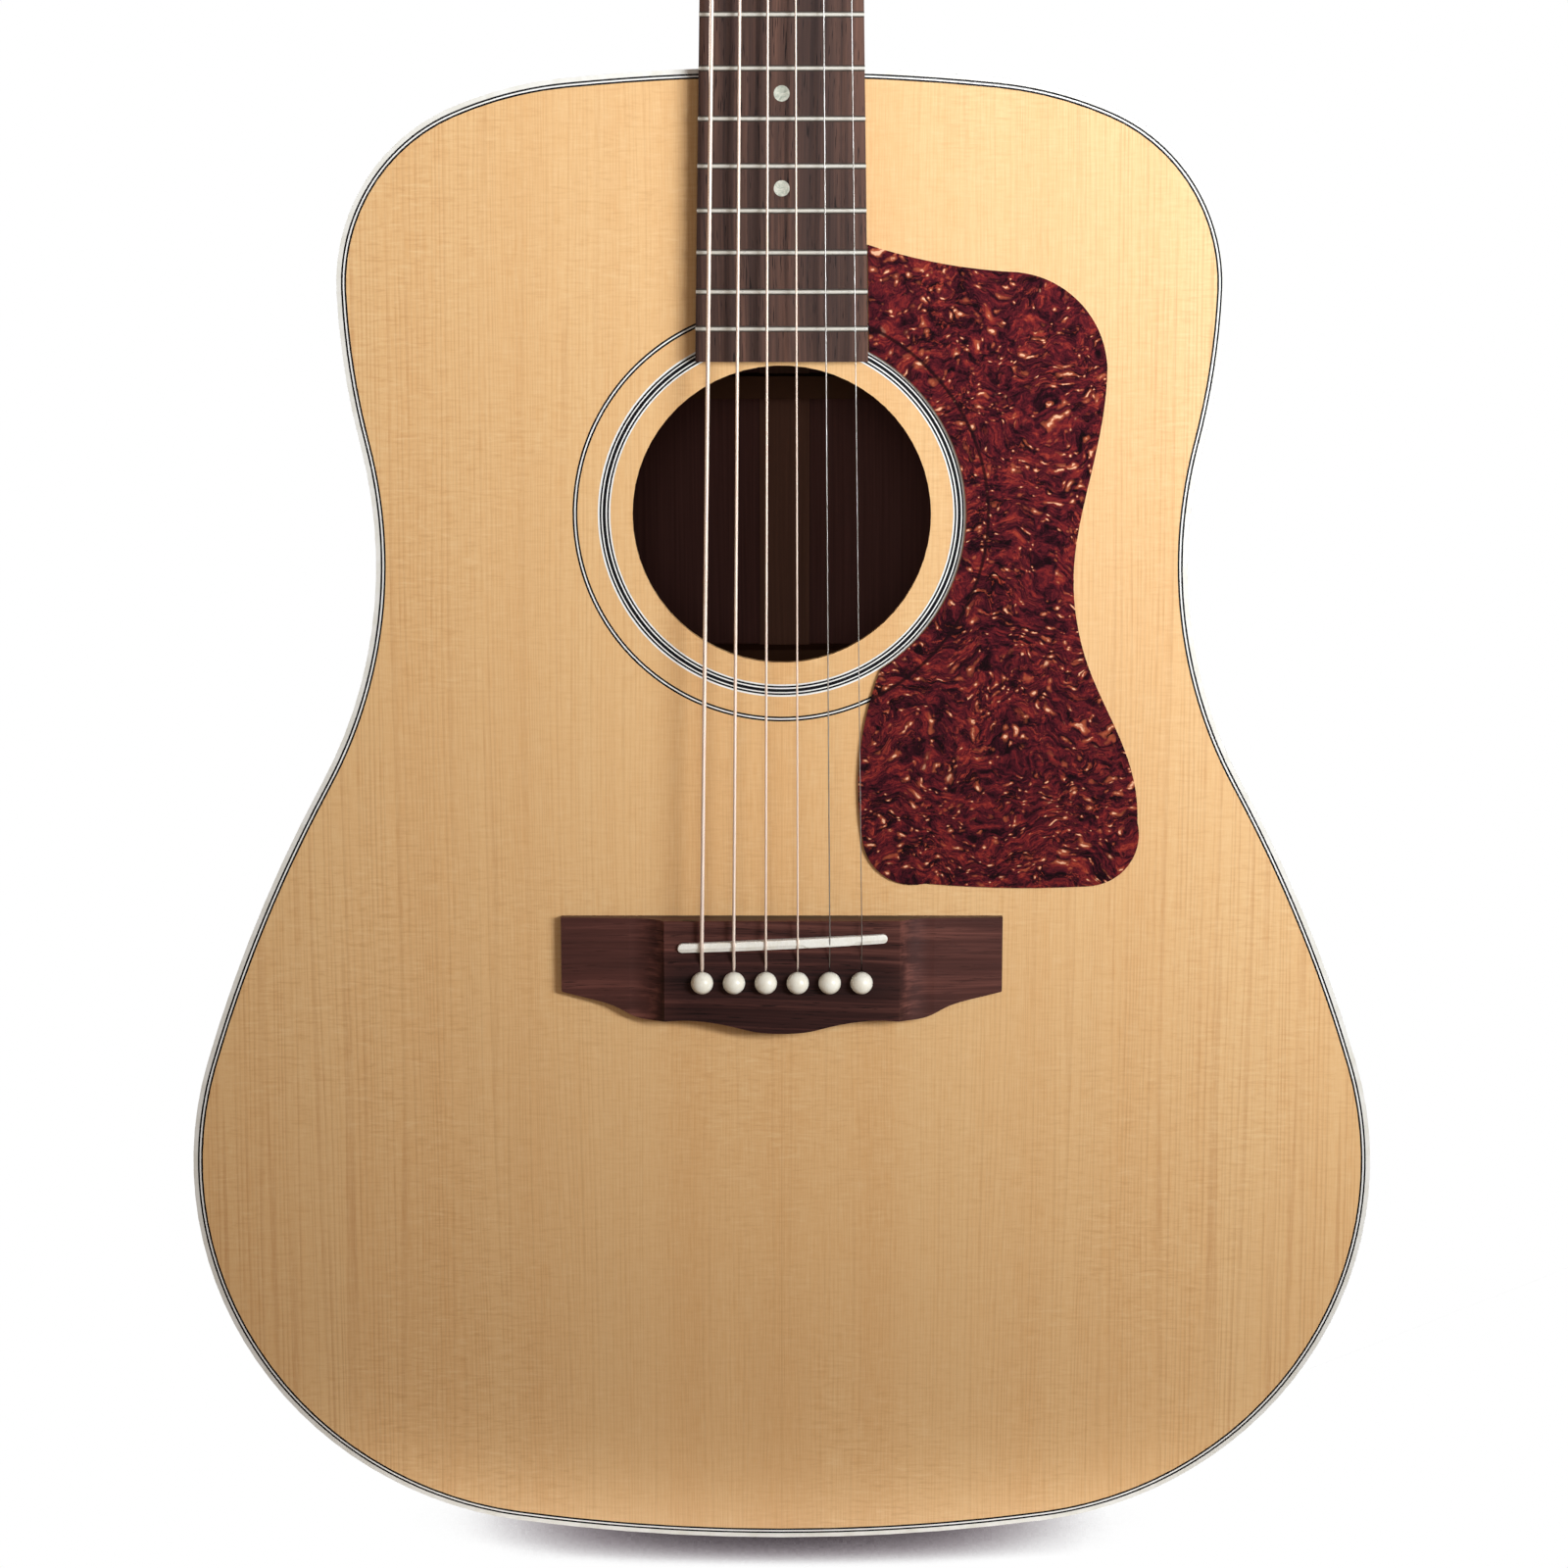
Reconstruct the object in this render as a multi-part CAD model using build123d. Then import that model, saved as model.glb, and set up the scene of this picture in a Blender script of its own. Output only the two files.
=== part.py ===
from build123d import *
import math
import os

# Steel-string acoustic guitar with a flat spruce top, in millimetres.
#
# Every piece is modelled with the guitar lying on its back: x runs across the strings with the
# treble side positive, y runs along them with the headstock positive, z is the height above the
# soundboard's face.  The nut's front edge is the line y = 0 and the soundboard's face, which is
# also the plane the fretboard is glued in, is z = 0.  stand() then turns each piece upright, so
# that the headstock points up (+Z) and the soundboard faces -Y.

# ---------------------------------------------------------------- driving dimensions
SCALE_LENGTH = 648.0
FRET_COUNT = 20

# Body outline at the rim: (radius, turn in degrees) from the neck end round the treble side.
# A negative turn is the hollow of the waist.  One more arc closes the outline at the tail.
BODY_TOP = -359.0
BODY_ARCS = (
    (728.8, 5.59), (128.8, 17.53), (63.3, 68.55), (243.9, 12.00),
    (159.6, -42.55), (524.4, 11.72), (129.0, 99.18),
)
BODY_TAIL = -868.0
DEPTH_AT_NECK = 102.0
DEPTH_AT_TAIL = 121.0
BACK_ARCH_RADIUS = 4572.0
TOP_THICKNESS = 2.8
BACK_THICKNESS = 2.6
SIDE_THICKNESS = 2.2

BINDING_WIDTH = 1.55
BINDING_HEIGHT = 6.0
PURFLING_LINES = (0.5, 0.65, 0.55)
INLAY_DEPTH = 1.2

HOLE_Y = -506.4
HOLE_RADIUS = 50.0
ROSETTE_MAIN = (57.4, (0.6, 0.5, 0.55, 0.9, 0.5, 0.45, 0.7))
ROSETTE_OUTER = (68.45, (0.5, 0.5, 0.5))

NECK_WIDTH_AT_NUT = 43.0
NECK_WIDENING = 0.0312
NECK_DEPTH_AT_NUT = 14.6
NECK_DEPTH_AT_HEEL = 16.5
FRETBOARD_END = -454.8
FRETBOARD_THICKNESS = 6.4
FRETBOARD_RADIUS = 406.4
FRET_WIDTH = 2.0
FRET_HEIGHT = 1.0
FRET_TANG = (0.6, 1.8)
NUT_WIDTH = 5.5

BRIDGE_TOP_Y = -643.7
BRIDGE_HEIGHT = 9.0
SADDLE_ENDS = ((-35.4, -653.05), (35.9, -649.66))
SADDLE_THICKNESS = 3.2
PIN_Y = -665.0
PIN_PITCH = 10.85
PIN_TOP_RADIUS = 2.65
PIN_TIP_RADIUS = 2.2
PIN_SHANK = 22.0
PIN_BALL_RADIUS = 3.8
PIN_CLEARANCE = 0.05
PIN_STRING_OFFSET = 1.6

# String 1 is the thinnest, on the treble side.
STRING_RADII = (0.1524, 0.2032, 0.3048, 0.4064, 0.5334, 0.6731)
STRING_TURNS = (5, 5, 4, 3, 3, 3)
SPREAD_AT_NUT = 35.7
SPREAD_AT_SADDLE = 54.3
STRING_FLOOR_AT_NUT = 7.55
STRING_FLOOR_AT_SADDLE = 11.7
STRING_GROOVE_CLEARANCE = 0.03

HEAD_ANGLE = 14.0
HEAD_THICKNESS = 15.0
OVERLAY_THICKNESS = 1.5
HEAD_LENGTH = 178.0
TUNER_PLACES = ((21.0, 46.0), (23.5, 86.0), (26.0, 126.0))

PLATE_THICKNESS = 1.2
POST_RADIUS = 3.0
POST_TOP = 10.5
GEAR_RADIUS = 5.4
GEAR_THICKNESS = 3.4
WORM_RADIUS = 3.0
WORM_OFFSET = 8.7
SHAFT_RADIUS = 1.75
RUNNING_CLEARANCE = 0.05

TRUSS_ROD_Z = -8.5
TRUSS_ROD_RADIUS = 2.4
TRUSS_NUT_START = 12.0
TRUSS_NUT_LENGTH = 10.0

BRACE_GAP = 8.2
BACK_BRACES_Y = (-471.0, -570.0, -675.0, -780.0)

BIG = 1500.0


# ---------------------------------------------------------------- shared helpers
def stand(shape):
    """Turn a piece from lying on its back to standing with the headstock up."""
    return Rot(90, 0, 0) * shape


def save(name, *solids):
    """Write one named piece, made of one or more separate solids."""
    flat = []
    for item in solids:
        flat.extend(stand(item).solids())
    shape = flat[0] if len(flat) == 1 else Compound(children=flat)
    export_step(shape, f"parts/{name}.step")


def slab(x0, x1, y0, y1, z0, z1):
    """A box given by its lowest and highest corners."""
    box = Box(x1 - x0, y1 - y0, z1 - z0)
    return Pos((x0 + x1) / 2, (y0 + y1) / 2, (z0 + z1) / 2) * box


def peg(x, y, z0, z1, radius):
    """An upright cylinder between two heights."""
    return Pos(x, y, (z0 + z1) / 2) * Cylinder(radius, z1 - z0)


def raised(face, height):
    """Extrude a level face upwards, whichever way its outline was drawn."""
    return extrude(face, amount=height, dir=(0, 0, 1))


def upright_profile(edges, y0, y1):
    """Extrude a closed x-z profile along the string direction, from y0 up to y1."""
    plane = Plane(origin=(0, y1, 0), x_dir=(1, 0, 0), z_dir=(0, -1, 0))
    return extrude(plane * make_face(edges), amount=y1 - y0, dir=(0, -1, 0))


def fret_y(number):
    return -SCALE_LENGTH * (1 - 2 ** (-number / 12))


def fretboard_half_width(y):
    return (NECK_WIDTH_AT_NUT - NECK_WIDENING * y) / 2


def crown_drop(x):
    """How far the arched fretboard lies below its middle, at a distance x from it."""
    return x * x / (2 * FRETBOARD_RADIUS)


# ---------------------------------------------------------------- body outline
def half_outline(inset):
    """Treble half of the body outline, moved in from the rim by inset."""
    edges = []
    point = Vector(0, BODY_TOP - inset)
    heading = Vector(1, 0)
    left = 180.0
    for radius, turn in BODY_ARCS:
        fitted = radius - inset if turn > 0 else radius + inset
        edges.append(JernArc(point, heading, fitted, -turn))
        point = edges[-1] @ 1
        heading = edges[-1] % 1
        left -= turn
    closing_radius = point.X / math.sin(math.radians(left))
    edges.append(JernArc(point, heading, closing_radius, -left))
    return edges


def body_prism(inset, z0, z1):
    """The body outline, moved in by inset, extruded between two heights."""
    right = half_outline(inset)
    left = [edge.mirror(Plane.YZ) for edge in right]
    return Pos(0, 0, z0) * raised(Face(Wire(right + left)), z1 - z0)


def body_ring(outer, inner, z0, z1):
    return body_prism(outer, z0, z1) - body_prism(inner, z0, z1)


def above_back(depth):
    """Everything in front of the arched back, starting depth inside its outer face."""
    fall = DEPTH_AT_TAIL - DEPTH_AT_NECK
    run = BODY_TOP - BODY_TAIL
    angle = math.atan2(fall, run)
    along = Vector(0, math.cos(angle), math.sin(angle))
    inwards = Vector(0, -math.sin(angle), math.cos(angle))
    middle = Vector(0, (BODY_TOP + BODY_TAIL) / 2, -(DEPTH_AT_NECK + DEPTH_AT_TAIL) / 2)
    plane = Plane(origin=middle + inwards * BACK_ARCH_RADIUS, x_dir=(1, 0, 0), z_dir=along)
    return plane * Cylinder(BACK_ARCH_RADIUS - depth, BIG)


BOTTOM = -150.0
ABOVE_BACK_OUTSIDE = above_back(0)
ABOVE_BACK_INSIDE = above_back(BACK_THICKNESS)
ABOVE_BACK_BINDING = above_back(BINDING_HEIGHT)


# ---------------------------------------------------------------- strings' routes
def rounded_path(points, radii):
    """Straight runs through the points, joined by tangent arcs of the given radii."""
    edges = []
    start = points[0]
    for before, corner, after, radius in zip(points, points[1:], points[2:], radii):
        incoming = (corner - before).normalized()
        outgoing = (after - corner).normalized()
        turn = math.radians(incoming.get_angle(outgoing))
        reach = radius * math.tan(turn / 2)
        arc_start = corner - incoming * reach
        arc_end = corner + outgoing * reach
        edges.append(Line(start, arc_start))
        edges.append(TangentArc(arc_start, arc_end, tangent=incoming))
        start = arc_end
    edges.append(Line(start, points[-1]))
    return edges


def head_point(u, v, w):
    """A point given across, along and above the headstock's face, in body coordinates."""
    angle = math.radians(HEAD_ANGLE)
    y = NUT_WIDTH + v * math.cos(angle) + w * math.sin(angle)
    z = -v * math.sin(angle) + w * math.cos(angle)
    return Vector(u, y, z)


def on_head(shape):
    """Move a shape modelled on a flat headstock, with its face at z = 0, to its place."""
    return Pos(0, NUT_WIDTH, 0) * Rot(-HEAD_ANGLE, 0, 0) * shape


def post_place(number):
    """Centre of string post number 1 (treble) to 6 (bass), on the headstock's face."""
    rank = number - 1 if number <= 3 else 6 - number
    side = 1 if number <= 3 else -1
    across, along = TUNER_PLACES[rank]
    return side * across, along


def string_x(number, spread):
    return spread * (3.5 - number) / 5


def saddle_y(x):
    (x0, y0), (x1, y1) = SADDLE_ENDS
    return y0 + (y1 - y0) * (x - x0) / (x1 - x0)


def winding_height(number):
    """Height of the topmost turn of string above the headstock's face."""
    radius = STRING_RADII[number - 1]
    return 1.9 + (STRING_TURNS[number - 1] + 0.5) * 2 * radius


def string_points(number):
    """Ball end, bend under the pin, saddle, nut, and where the string meets its post."""
    radius = STRING_RADII[number - 1]
    pin_x = string_x(number, 5 * PIN_PITCH)
    low_y = PIN_Y + PIN_STRING_OFFSET
    over_saddle = string_x(number, SPREAD_AT_SADDLE)
    over_nut = string_x(number, SPREAD_AT_NUT)
    saddle_z = STRING_FLOOR_AT_SADDLE + radius - crown_drop(over_saddle)
    nut_z = STRING_FLOOR_AT_NUT + radius - crown_drop(over_nut)
    post_x, post_v = post_place(number)
    side = math.copysign(1, post_x)
    wrap = POST_RADIUS + radius + RUNNING_CLEARANCE
    # The string runs to the side of the post that faces the middle of the headstock.
    nut_v = -NUT_WIDTH
    lean = math.atan2(post_x - over_nut, post_v - nut_v)
    reach = math.hypot(post_x - over_nut, post_v - nut_v)
    heading = lean - side * math.asin(wrap / reach)
    u = post_x - side * wrap * math.cos(heading)
    v = post_v + side * wrap * math.sin(heading)
    w = winding_height(number)
    level = 5.0
    return [
        Vector(pin_x, low_y, -7.3),
        Vector(pin_x, low_y, 7.2),
        Vector(over_saddle, saddle_y(over_saddle), saddle_z),
        Vector(over_nut, 0, nut_z),
        head_point(u - level * math.sin(heading), v - level * math.cos(heading), w),
        head_point(u, v, w),
    ]


def string_tube(number, extra=0.0):
    """The string from its ball end to its first turn on the post, thickened by extra."""
    points = string_points(number)
    edges = rounded_path(points, (2.0, 4.0, 8.0, 60.0))
    post_x, post_v = post_place(number)
    centre = head_point(post_x, post_v, winding_height(number))
    arm = points[-1] - centre
    axis = Axis(centre, head_point(0, 0, 1) - head_point(0, 0, 0))
    turn = 320.0 if post_x > 0 else -320.0
    middle = centre + arm.rotate(Axis((0, 0, 0), axis.direction), -turn / 2)
    end = centre + arm.rotate(Axis((0, 0, 0), axis.direction), -turn)
    edges.append(ThreePointArc(points[-1], middle, end))
    path = Wire(edges)
    radius = STRING_RADII[number - 1] + extra
    section = Plane(origin=path @ 0, z_dir=path % 0) * Circle(radius)
    return sweep(section, path=path)


def string_slot(number, here, there, reach_up):
    """An open-topped slot for a string, in the upright plane through two points of its route."""
    radius = STRING_RADII[number - 1] + STRING_GROOVE_CLEARANCE
    flat = Vector(there.X - here.X, there.Y - here.Y, 0)
    plane = Plane(origin=(here.X, here.Y, 0), x_dir=flat, z_dir=flat.cross(Vector(0, 0, 1)))
    corners = [(0, here.Z), (flat.length, there.Z), (flat.length, reach_up), (0, reach_up)]
    # The plane's own y axis points down when its normal is flat x Z, so heights are negated.
    sign = plane.y_dir.Z
    outline = Polyline(*[(along, sign * height) for along, height in corners], close=True)
    return extrude(plane * make_face(outline), amount=radius, both=True)


# ---------------------------------------------------------------- sound box
def make_soundboard():
    board = body_prism(BINDING_WIDTH, -TOP_THICKNESS, 0)
    board -= body_ring(BINDING_WIDTH, BINDING_WIDTH + sum(PURFLING_LINES), -INLAY_DEPTH, 0)
    board -= peg(0, HOLE_Y, -TOP_THICKNESS, 0, HOLE_RADIUS)
    for inner, lines in (ROSETTE_MAIN, ROSETTE_OUTER):
        channel = peg(0, HOLE_Y, -INLAY_DEPTH, 0, inner + sum(lines))
        board -= channel - peg(0, HOLE_Y, -INLAY_DEPTH, 0, inner)
    return board - pin_holes()


def make_rosette():
    rings = []
    for inner, lines in (ROSETTE_MAIN, ROSETTE_OUTER):
        radius = inner
        for width in lines:
            disc = peg(0, HOLE_Y, -INLAY_DEPTH, 0, radius + width)
            rings.append(disc - peg(0, HOLE_Y, -INLAY_DEPTH, 0, radius))
            radius += width
    return rings


def make_purfling():
    lines = []
    inset = BINDING_WIDTH
    for width in PURFLING_LINES:
        lines.append(body_ring(inset, inset + width, -INLAY_DEPTH, 0))
        inset += width
    return lines


def make_back():
    plate = body_prism(BINDING_WIDTH, BOTTOM, -TOP_THICKNESS)
    return (plate & ABOVE_BACK_OUTSIDE) - ABOVE_BACK_INSIDE


def make_back_binding():
    ring = body_ring(0, BINDING_WIDTH, BOTTOM, -60)
    return (ring & ABOVE_BACK_OUTSIDE) - ABOVE_BACK_BINDING


def end_graft_wedge():
    """The tapered strip that closes the joint between the sides at the tail."""
    half_top = 7.0
    half_bottom = 11.0
    outline = Polyline(
        (-half_top, 0), (half_top, 0), (half_bottom, BOTTOM), (-half_bottom, BOTTOM), close=True
    )
    return upright_profile(outline, BODY_TAIL - 5, BODY_TAIL + 60)


def make_sides():
    shell = body_ring(0, SIDE_THICKNESS, BOTTOM, -TOP_THICKNESS) & ABOVE_BACK_INSIDE
    shell -= body_ring(0, BINDING_WIDTH, -BINDING_HEIGHT, 0)
    shell -= body_ring(0, BINDING_WIDTH, BOTTOM, -60) - ABOVE_BACK_BINDING
    shell -= neck_tenon()
    wedge = end_graft_wedge()
    graft = shell & wedge
    rest = shell - wedge
    half = slab(0, BIG, -BIG, 0, BOTTOM, 0)
    treble = rest & half
    bass = rest - half
    screw_hole = strap_screw_space()
    return bass, treble, graft - screw_hole


def block_space(half_width, y0, y1):
    """A block that fills the body between two lines, from the soundboard to the back."""
    block = slab(-half_width, half_width, y0, y1, BOTTOM, -TOP_THICKNESS)
    return block & body_prism(SIDE_THICKNESS, BOTTOM, -TOP_THICKNESS) & ABOVE_BACK_INSIDE


def make_neck_block():
    return block_space(42, BODY_TOP - 48, BODY_TOP) - neck_tenon()


def make_tail_block():
    return block_space(38, BODY_TAIL - 5, BODY_TAIL + 22) - strap_screw_space()


def make_linings():
    """Strips that widen the gluing edge of the sides, under the top and over the back."""
    width = BRACE_GAP - SIDE_THICKNESS
    height = 14.0
    ring = body_ring(SIDE_THICKNESS, SIDE_THICKNESS + width, BOTTOM, -TOP_THICKNESS)
    ring -= slab(-42, 42, BODY_TOP - 60, BODY_TOP, BOTTOM, 0)
    ring -= slab(-38, 38, BODY_TAIL, BODY_TAIL + 60, BOTTOM, 0)
    top = ring & slab(-BIG, BIG, -BIG, 0, -TOP_THICKNESS - height, 0)
    back = (ring & ABOVE_BACK_INSIDE) - above_back(BACK_THICKNESS + height)
    return top, back


def bar(x0, y0, x1, y1, width, depth):
    """A brace glued under the soundboard between two points, rounded along its free edge."""
    length = math.hypot(x1 - x0, y1 - y0)
    heading = math.degrees(math.atan2(y1 - y0, x1 - x0))
    shoulder = depth - width / 2
    profile = Line((-width / 2, 0), (-width / 2, -shoulder))
    profile += ThreePointArc((-width / 2, -shoulder), (0, -depth), (width / 2, -shoulder))
    profile += Polyline((width / 2, -shoulder), (width / 2, 0), (-width / 2, 0))
    solid = extrude(Plane.YZ * make_face(profile), amount=length, dir=(1, 0, 0))
    return Pos(x0, y0, -TOP_THICKNESS) * Rot(0, 0, heading) * solid


def make_top_braces():
    """The crossed main braces, and the smaller braces beside them."""
    cross_y = HOLE_Y - 78
    angle = math.radians(49)
    up = 185.0
    down = 235.0
    width = 8.0
    depth = 14.0
    room = body_prism(BRACE_GAP + 0.3, -60, -TOP_THICKNESS)
    legs = []
    for side in (1, -1):
        dx = side * math.sin(angle)
        dy = math.cos(angle)
        leg = bar(-dx * down, cross_y - dy * down, dx * up, cross_y + dy * up, width, depth)
        legs.append(leg & room)
    legs[1] -= legs[0]
    block = slab(-43, 43, BODY_TOP - 50, BODY_TOP, BOTTOM, 0)
    plate = bridge_plate_space()
    small = [bar(-170, -432, 170, -432, 12, 15)]
    small.append(bar(-52, -694, 92, -770, 6.5, 9))
    small.append(bar(-88, -716, 30, -800, 6.5, 9))
    for side in (1, -1):
        small.append(bar(side * 78, -540, side * 140, -566, 6, 7))
        small.append(bar(side * 92, -600, side * 178, -640, 6, 7))
        small.append(bar(side * 58, -462, side * 58, -538, 6, 5))
    fitted = []
    for item in small:
        fitted.append((item & room) - legs[0] - legs[1] - block - plate)
    return [leg - block - plate for leg in legs], fitted


def bridge_plate_space():
    under = -TOP_THICKNESS
    return slab(-62, 62, -686, -652, under - 2.5, under)


def make_back_braces():
    """Cross bars glued to the back, and the strip that covers its centre joint."""
    room = body_prism(BRACE_GAP + 0.3, BOTTOM, -TOP_THICKNESS) & ABOVE_BACK_INSIDE
    braces = []
    for y, width, height in zip(BACK_BRACES_Y, (8, 8, 16, 16), (16, 16, 10, 10)):
        brace = slab(-BIG, BIG, y - width / 2, y + width / 2, BOTTOM, 0) & room
        brace -= above_back(BACK_THICKNESS + height)
        braces.append(brace)
    half = 9.0
    strip = slab(1 - half, 1 + half, BODY_TAIL + 24, BODY_TOP - 50, BOTTOM, 0) & room
    strip -= above_back(BACK_THICKNESS + 2.5)
    for brace in braces:
        strip -= brace
    return braces, strip


# ---------------------------------------------------------------- bridge
def pin_shank(x, extra):
    """A tapered shank under the bridge's top, thickened by extra."""
    cone = Cone(PIN_TIP_RADIUS + extra, PIN_TOP_RADIUS + extra, PIN_SHANK)
    return Pos(x, PIN_Y, BRIDGE_HEIGHT - PIN_SHANK / 2) * cone


def pin_holes():
    holes = Part()
    for number in range(1, 7):
        holes += pin_shank(string_x(number, 5 * PIN_PITCH), PIN_CLEARANCE)
    return holes


def make_bridge_pin(number):
    """A ball-headed pin, slotted towards the saddle for its string."""
    x = string_x(number, 5 * PIN_PITCH)
    radius = STRING_RADII[number - 1]
    foot = BRIDGE_HEIGHT + 0.12
    tip = BRIDGE_HEIGHT - PIN_SHANK
    ball = PIN_BALL_RADIUS
    sunk = 0.9
    rim = math.sqrt(ball ** 2 - sunk ** 2)
    slant = ball * math.sqrt(0.5)
    profile = Polyline((0, tip), (PIN_TIP_RADIUS, tip), (PIN_TOP_RADIUS, foot), (rim, foot))
    profile += ThreePointArc((rim, foot), (slant, foot + sunk + slant), (0, foot + sunk + ball))
    profile += Line((0, foot + sunk + ball), (0, tip))
    plane = Plane(origin=(0, 0, 0), x_dir=(1, 0, 0), z_dir=(0, -1, 0))
    pin = Pos(x, PIN_Y, 0) * Rot(0, 0, -90) * revolve(plane * make_face(profile), Axis.Z, 360)
    wide = radius + 0.15
    inner = PIN_Y + PIN_STRING_OFFSET - radius - 0.12
    ball_room = -TOP_THICKNESS - 2.4
    pin -= slab(x - wide, x + wide, inner, PIN_Y + 6, ball_room - 1, foot)
    return pin - slab(x - 5, x + 5, PIN_Y - 0.6, PIN_Y + 6, tip - 1, ball_room)


def bridge_outline():
    """Straight front edge, square wing tips, soft cusps and a belly towards the tail."""
    top = BRIDGE_TOP_Y
    half = 75.3
    tip = (half - 0.8, -669.9)
    front = Line((0, top), (half, top))
    end = Line((half, top), (half, -669.1))
    corner = ThreePointArc(end @ 1, (half - 0.25, -669.7), tip)
    lower = Spline(
        tip, (64.5, -672.3), (56.0, -675.1), (49.6, -678.3), (44.0, -679.0), (36.0, -678.5),
        (27.0, -678.8), (16.0, -680.8), (0, -683.1), tangents=[(-1, -0.25), (-1, 0)],
    )
    right = [front, end, corner, lower]
    left = [edge.mirror(Plane.YZ) for edge in right]
    return Face(Wire(right + left))


def wing_relief(side):
    """What is carved away above one wing of the bridge."""
    edges = ThreePointArc((40.0, BRIDGE_HEIGHT + 0.01), (43.6, 6.1), (52.0, 4.2))
    edges += ThreePointArc((52.0, 4.2), (66.0, 3.5), (80.0, 3.0))
    edges += Polyline((80.0, 3.0), (80.0, 20.0), (40.0, 20.0), (40.0, BRIDGE_HEIGHT + 0.01))
    cut = upright_profile(edges, -700, -630)
    return cut if side > 0 else cut.mirror(Plane.YZ)


def make_bridge():
    body = raised(bridge_outline(), BRIDGE_HEIGHT)
    body -= wing_relief(1)
    body -= wing_relief(-1)
    bevel = 0.4
    edge = BRIDGE_TOP_Y
    outline = Polyline(
        (edge - bevel, BRIDGE_HEIGHT), (edge + 1, BRIDGE_HEIGHT), (edge + 1, BRIDGE_HEIGHT - bevel),
        (edge, BRIDGE_HEIGHT - bevel), close=True,
    )
    body -= extrude(Plane.YZ * make_face(outline), amount=60, both=True)
    body -= saddle_blank()
    body -= pin_holes()
    for number in range(1, 7):
        points = string_points(number)
        body -= string_tube(number, STRING_GROOVE_CLEARANCE)
        body -= string_slot(number, points[1], points[2], 30)
    return body


def saddle_place():
    """The middle of the saddle, turned along its length."""
    (x0, y0), (x1, y1) = SADDLE_ENDS
    heading = math.degrees(math.atan2(y1 - y0, x1 - x0))
    return Pos((x0 + x1) / 2, (y0 + y1) / 2, 0) * Rot(0, 0, heading)


def saddle_blank():
    """The round-ended strip that the saddle is shaped from, and that its slot fits."""
    (x0, y0), (x1, y1) = SADDLE_ENDS
    length = math.hypot(x1 - x0, y1 - y0)
    blank = SlotOverall(length, SADDLE_THICKNESS)
    return saddle_place() * Pos(0, 0, 4.0) * raised(blank, 10)


def saddle_slope(*corners):
    """What is filed off the top over a plan, so that it falls away towards the tail."""
    crown = STRING_FLOOR_AT_SADDLE + 0.15
    plan = raised(make_face(Polyline(*corners, close=True)), 30)
    falling = Pos(0, -0.2, crown) * Rot(28, 0, 0) * Pos(0, 0, -FRETBOARD_RADIUS)
    falling = falling * Rot(90, 0, 0) * Cylinder(FRETBOARD_RADIUS, 40)
    return saddle_place() * (plan - falling)


def make_saddle():
    """Crowned along its length and filed down towards the tail, except under string 2."""
    crown = STRING_FLOOR_AT_SADDLE + 0.15
    centre_z = crown - FRETBOARD_RADIUS
    crowning = Pos(0, saddle_y(0), centre_z) * Rot(90, 0, 0) * Cylinder(FRETBOARD_RADIUS, 40)
    saddle = saddle_blank() & crowning
    top = [edge for edge in saddle.edges() if edge.center().Z > BRIDGE_HEIGHT + 1]
    saddle = fillet(top, 0.5)
    second = string_x(2, SPREAD_AT_SADDLE)
    saddle -= saddle_slope((-45, -0.2), (second - 9.8, -0.2), (second - 5.1, -3), (-45, -3))
    saddle -= saddle_slope((second + 9.0, -0.2), (45, -0.2), (45, -3), (second + 3.7, -3))
    for number in range(1, 7):
        saddle -= string_tube(number, STRING_GROOVE_CLEARANCE)
    return saddle


def make_bridge_plate():
    return bridge_plate_space() - pin_holes()


# ---------------------------------------------------------------- neck
def neck_section(y, half_width, depth):
    """A half ellipse hanging from the fretboard's glue plane."""
    plane = Plane(origin=(0, y, 0), x_dir=(1, 0, 0), z_dir=(0, -1, 0))
    curve = EllipticalCenterArc((0, 0), half_width, depth, start_angle=180, arc_size=180)
    return plane * make_face(curve + Line(curve @ 1, curve @ 0))


def heel_section(z, half_width, length):
    """A half ellipse pointing from the body towards the nut."""
    curve = EllipticalCenterArc((0, BODY_TOP - 3), half_width, length + 3, arc_size=180)
    return Pos(0, 0, z) * make_face(curve + Line(curve @ 1, curve @ 0))


def heel_blank():
    sections = (
        (-3.0, 26.9, 70.0), (-12.0, 26.4, 50.0), (-24.0, 24.6, 34.0), (-42.0, 20.8, 26.0),
        (-68.0, 16.6, 21.5), (-110.0, 12.6, 18.5),
    )
    return loft([heel_section(*section) for section in sections])


def neck_tenon():
    """The dovetail that locks the heel into the neck block."""
    top = -6.5
    bottom = -80.0
    outline = Polyline(
        (-10, BODY_TOP + 3), (10, BODY_TOP + 3), (10, BODY_TOP - 3), (15, BODY_TOP - 24),
        (-15, BODY_TOP - 24), (-10, BODY_TOP - 3), close=True,
    )
    return Pos(0, 0, bottom) * raised(make_face(outline), top - bottom)


def head_outline():
    """A gently flared headstock with a shallow crowned top, on the headstock's own plane."""
    edges = [Line((0, -3), (21.4, -3))]
    edges.append(Line((21.4, -3), (21.6, 2)))
    edges.append(TangentArc((21.6, 2), (30.5, 22), tangent=(0.05, 1)))
    edges.append(Line((30.5, 22), (36.0, HEAD_LENGTH - 9)))
    edges.append(TangentArc((36.0, HEAD_LENGTH - 9), (31.5, HEAD_LENGTH - 1.8), tangent=(0.035, 1)))
    right = list(edges)
    left = [edge.mirror(Plane.YZ) for edge in right]
    crown = ThreePointArc((31.5, HEAD_LENGTH - 1.8), (0, HEAD_LENGTH + 4), (-31.5, HEAD_LENGTH - 1.8))
    return Face(Wire(right + left + [crown]))


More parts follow.
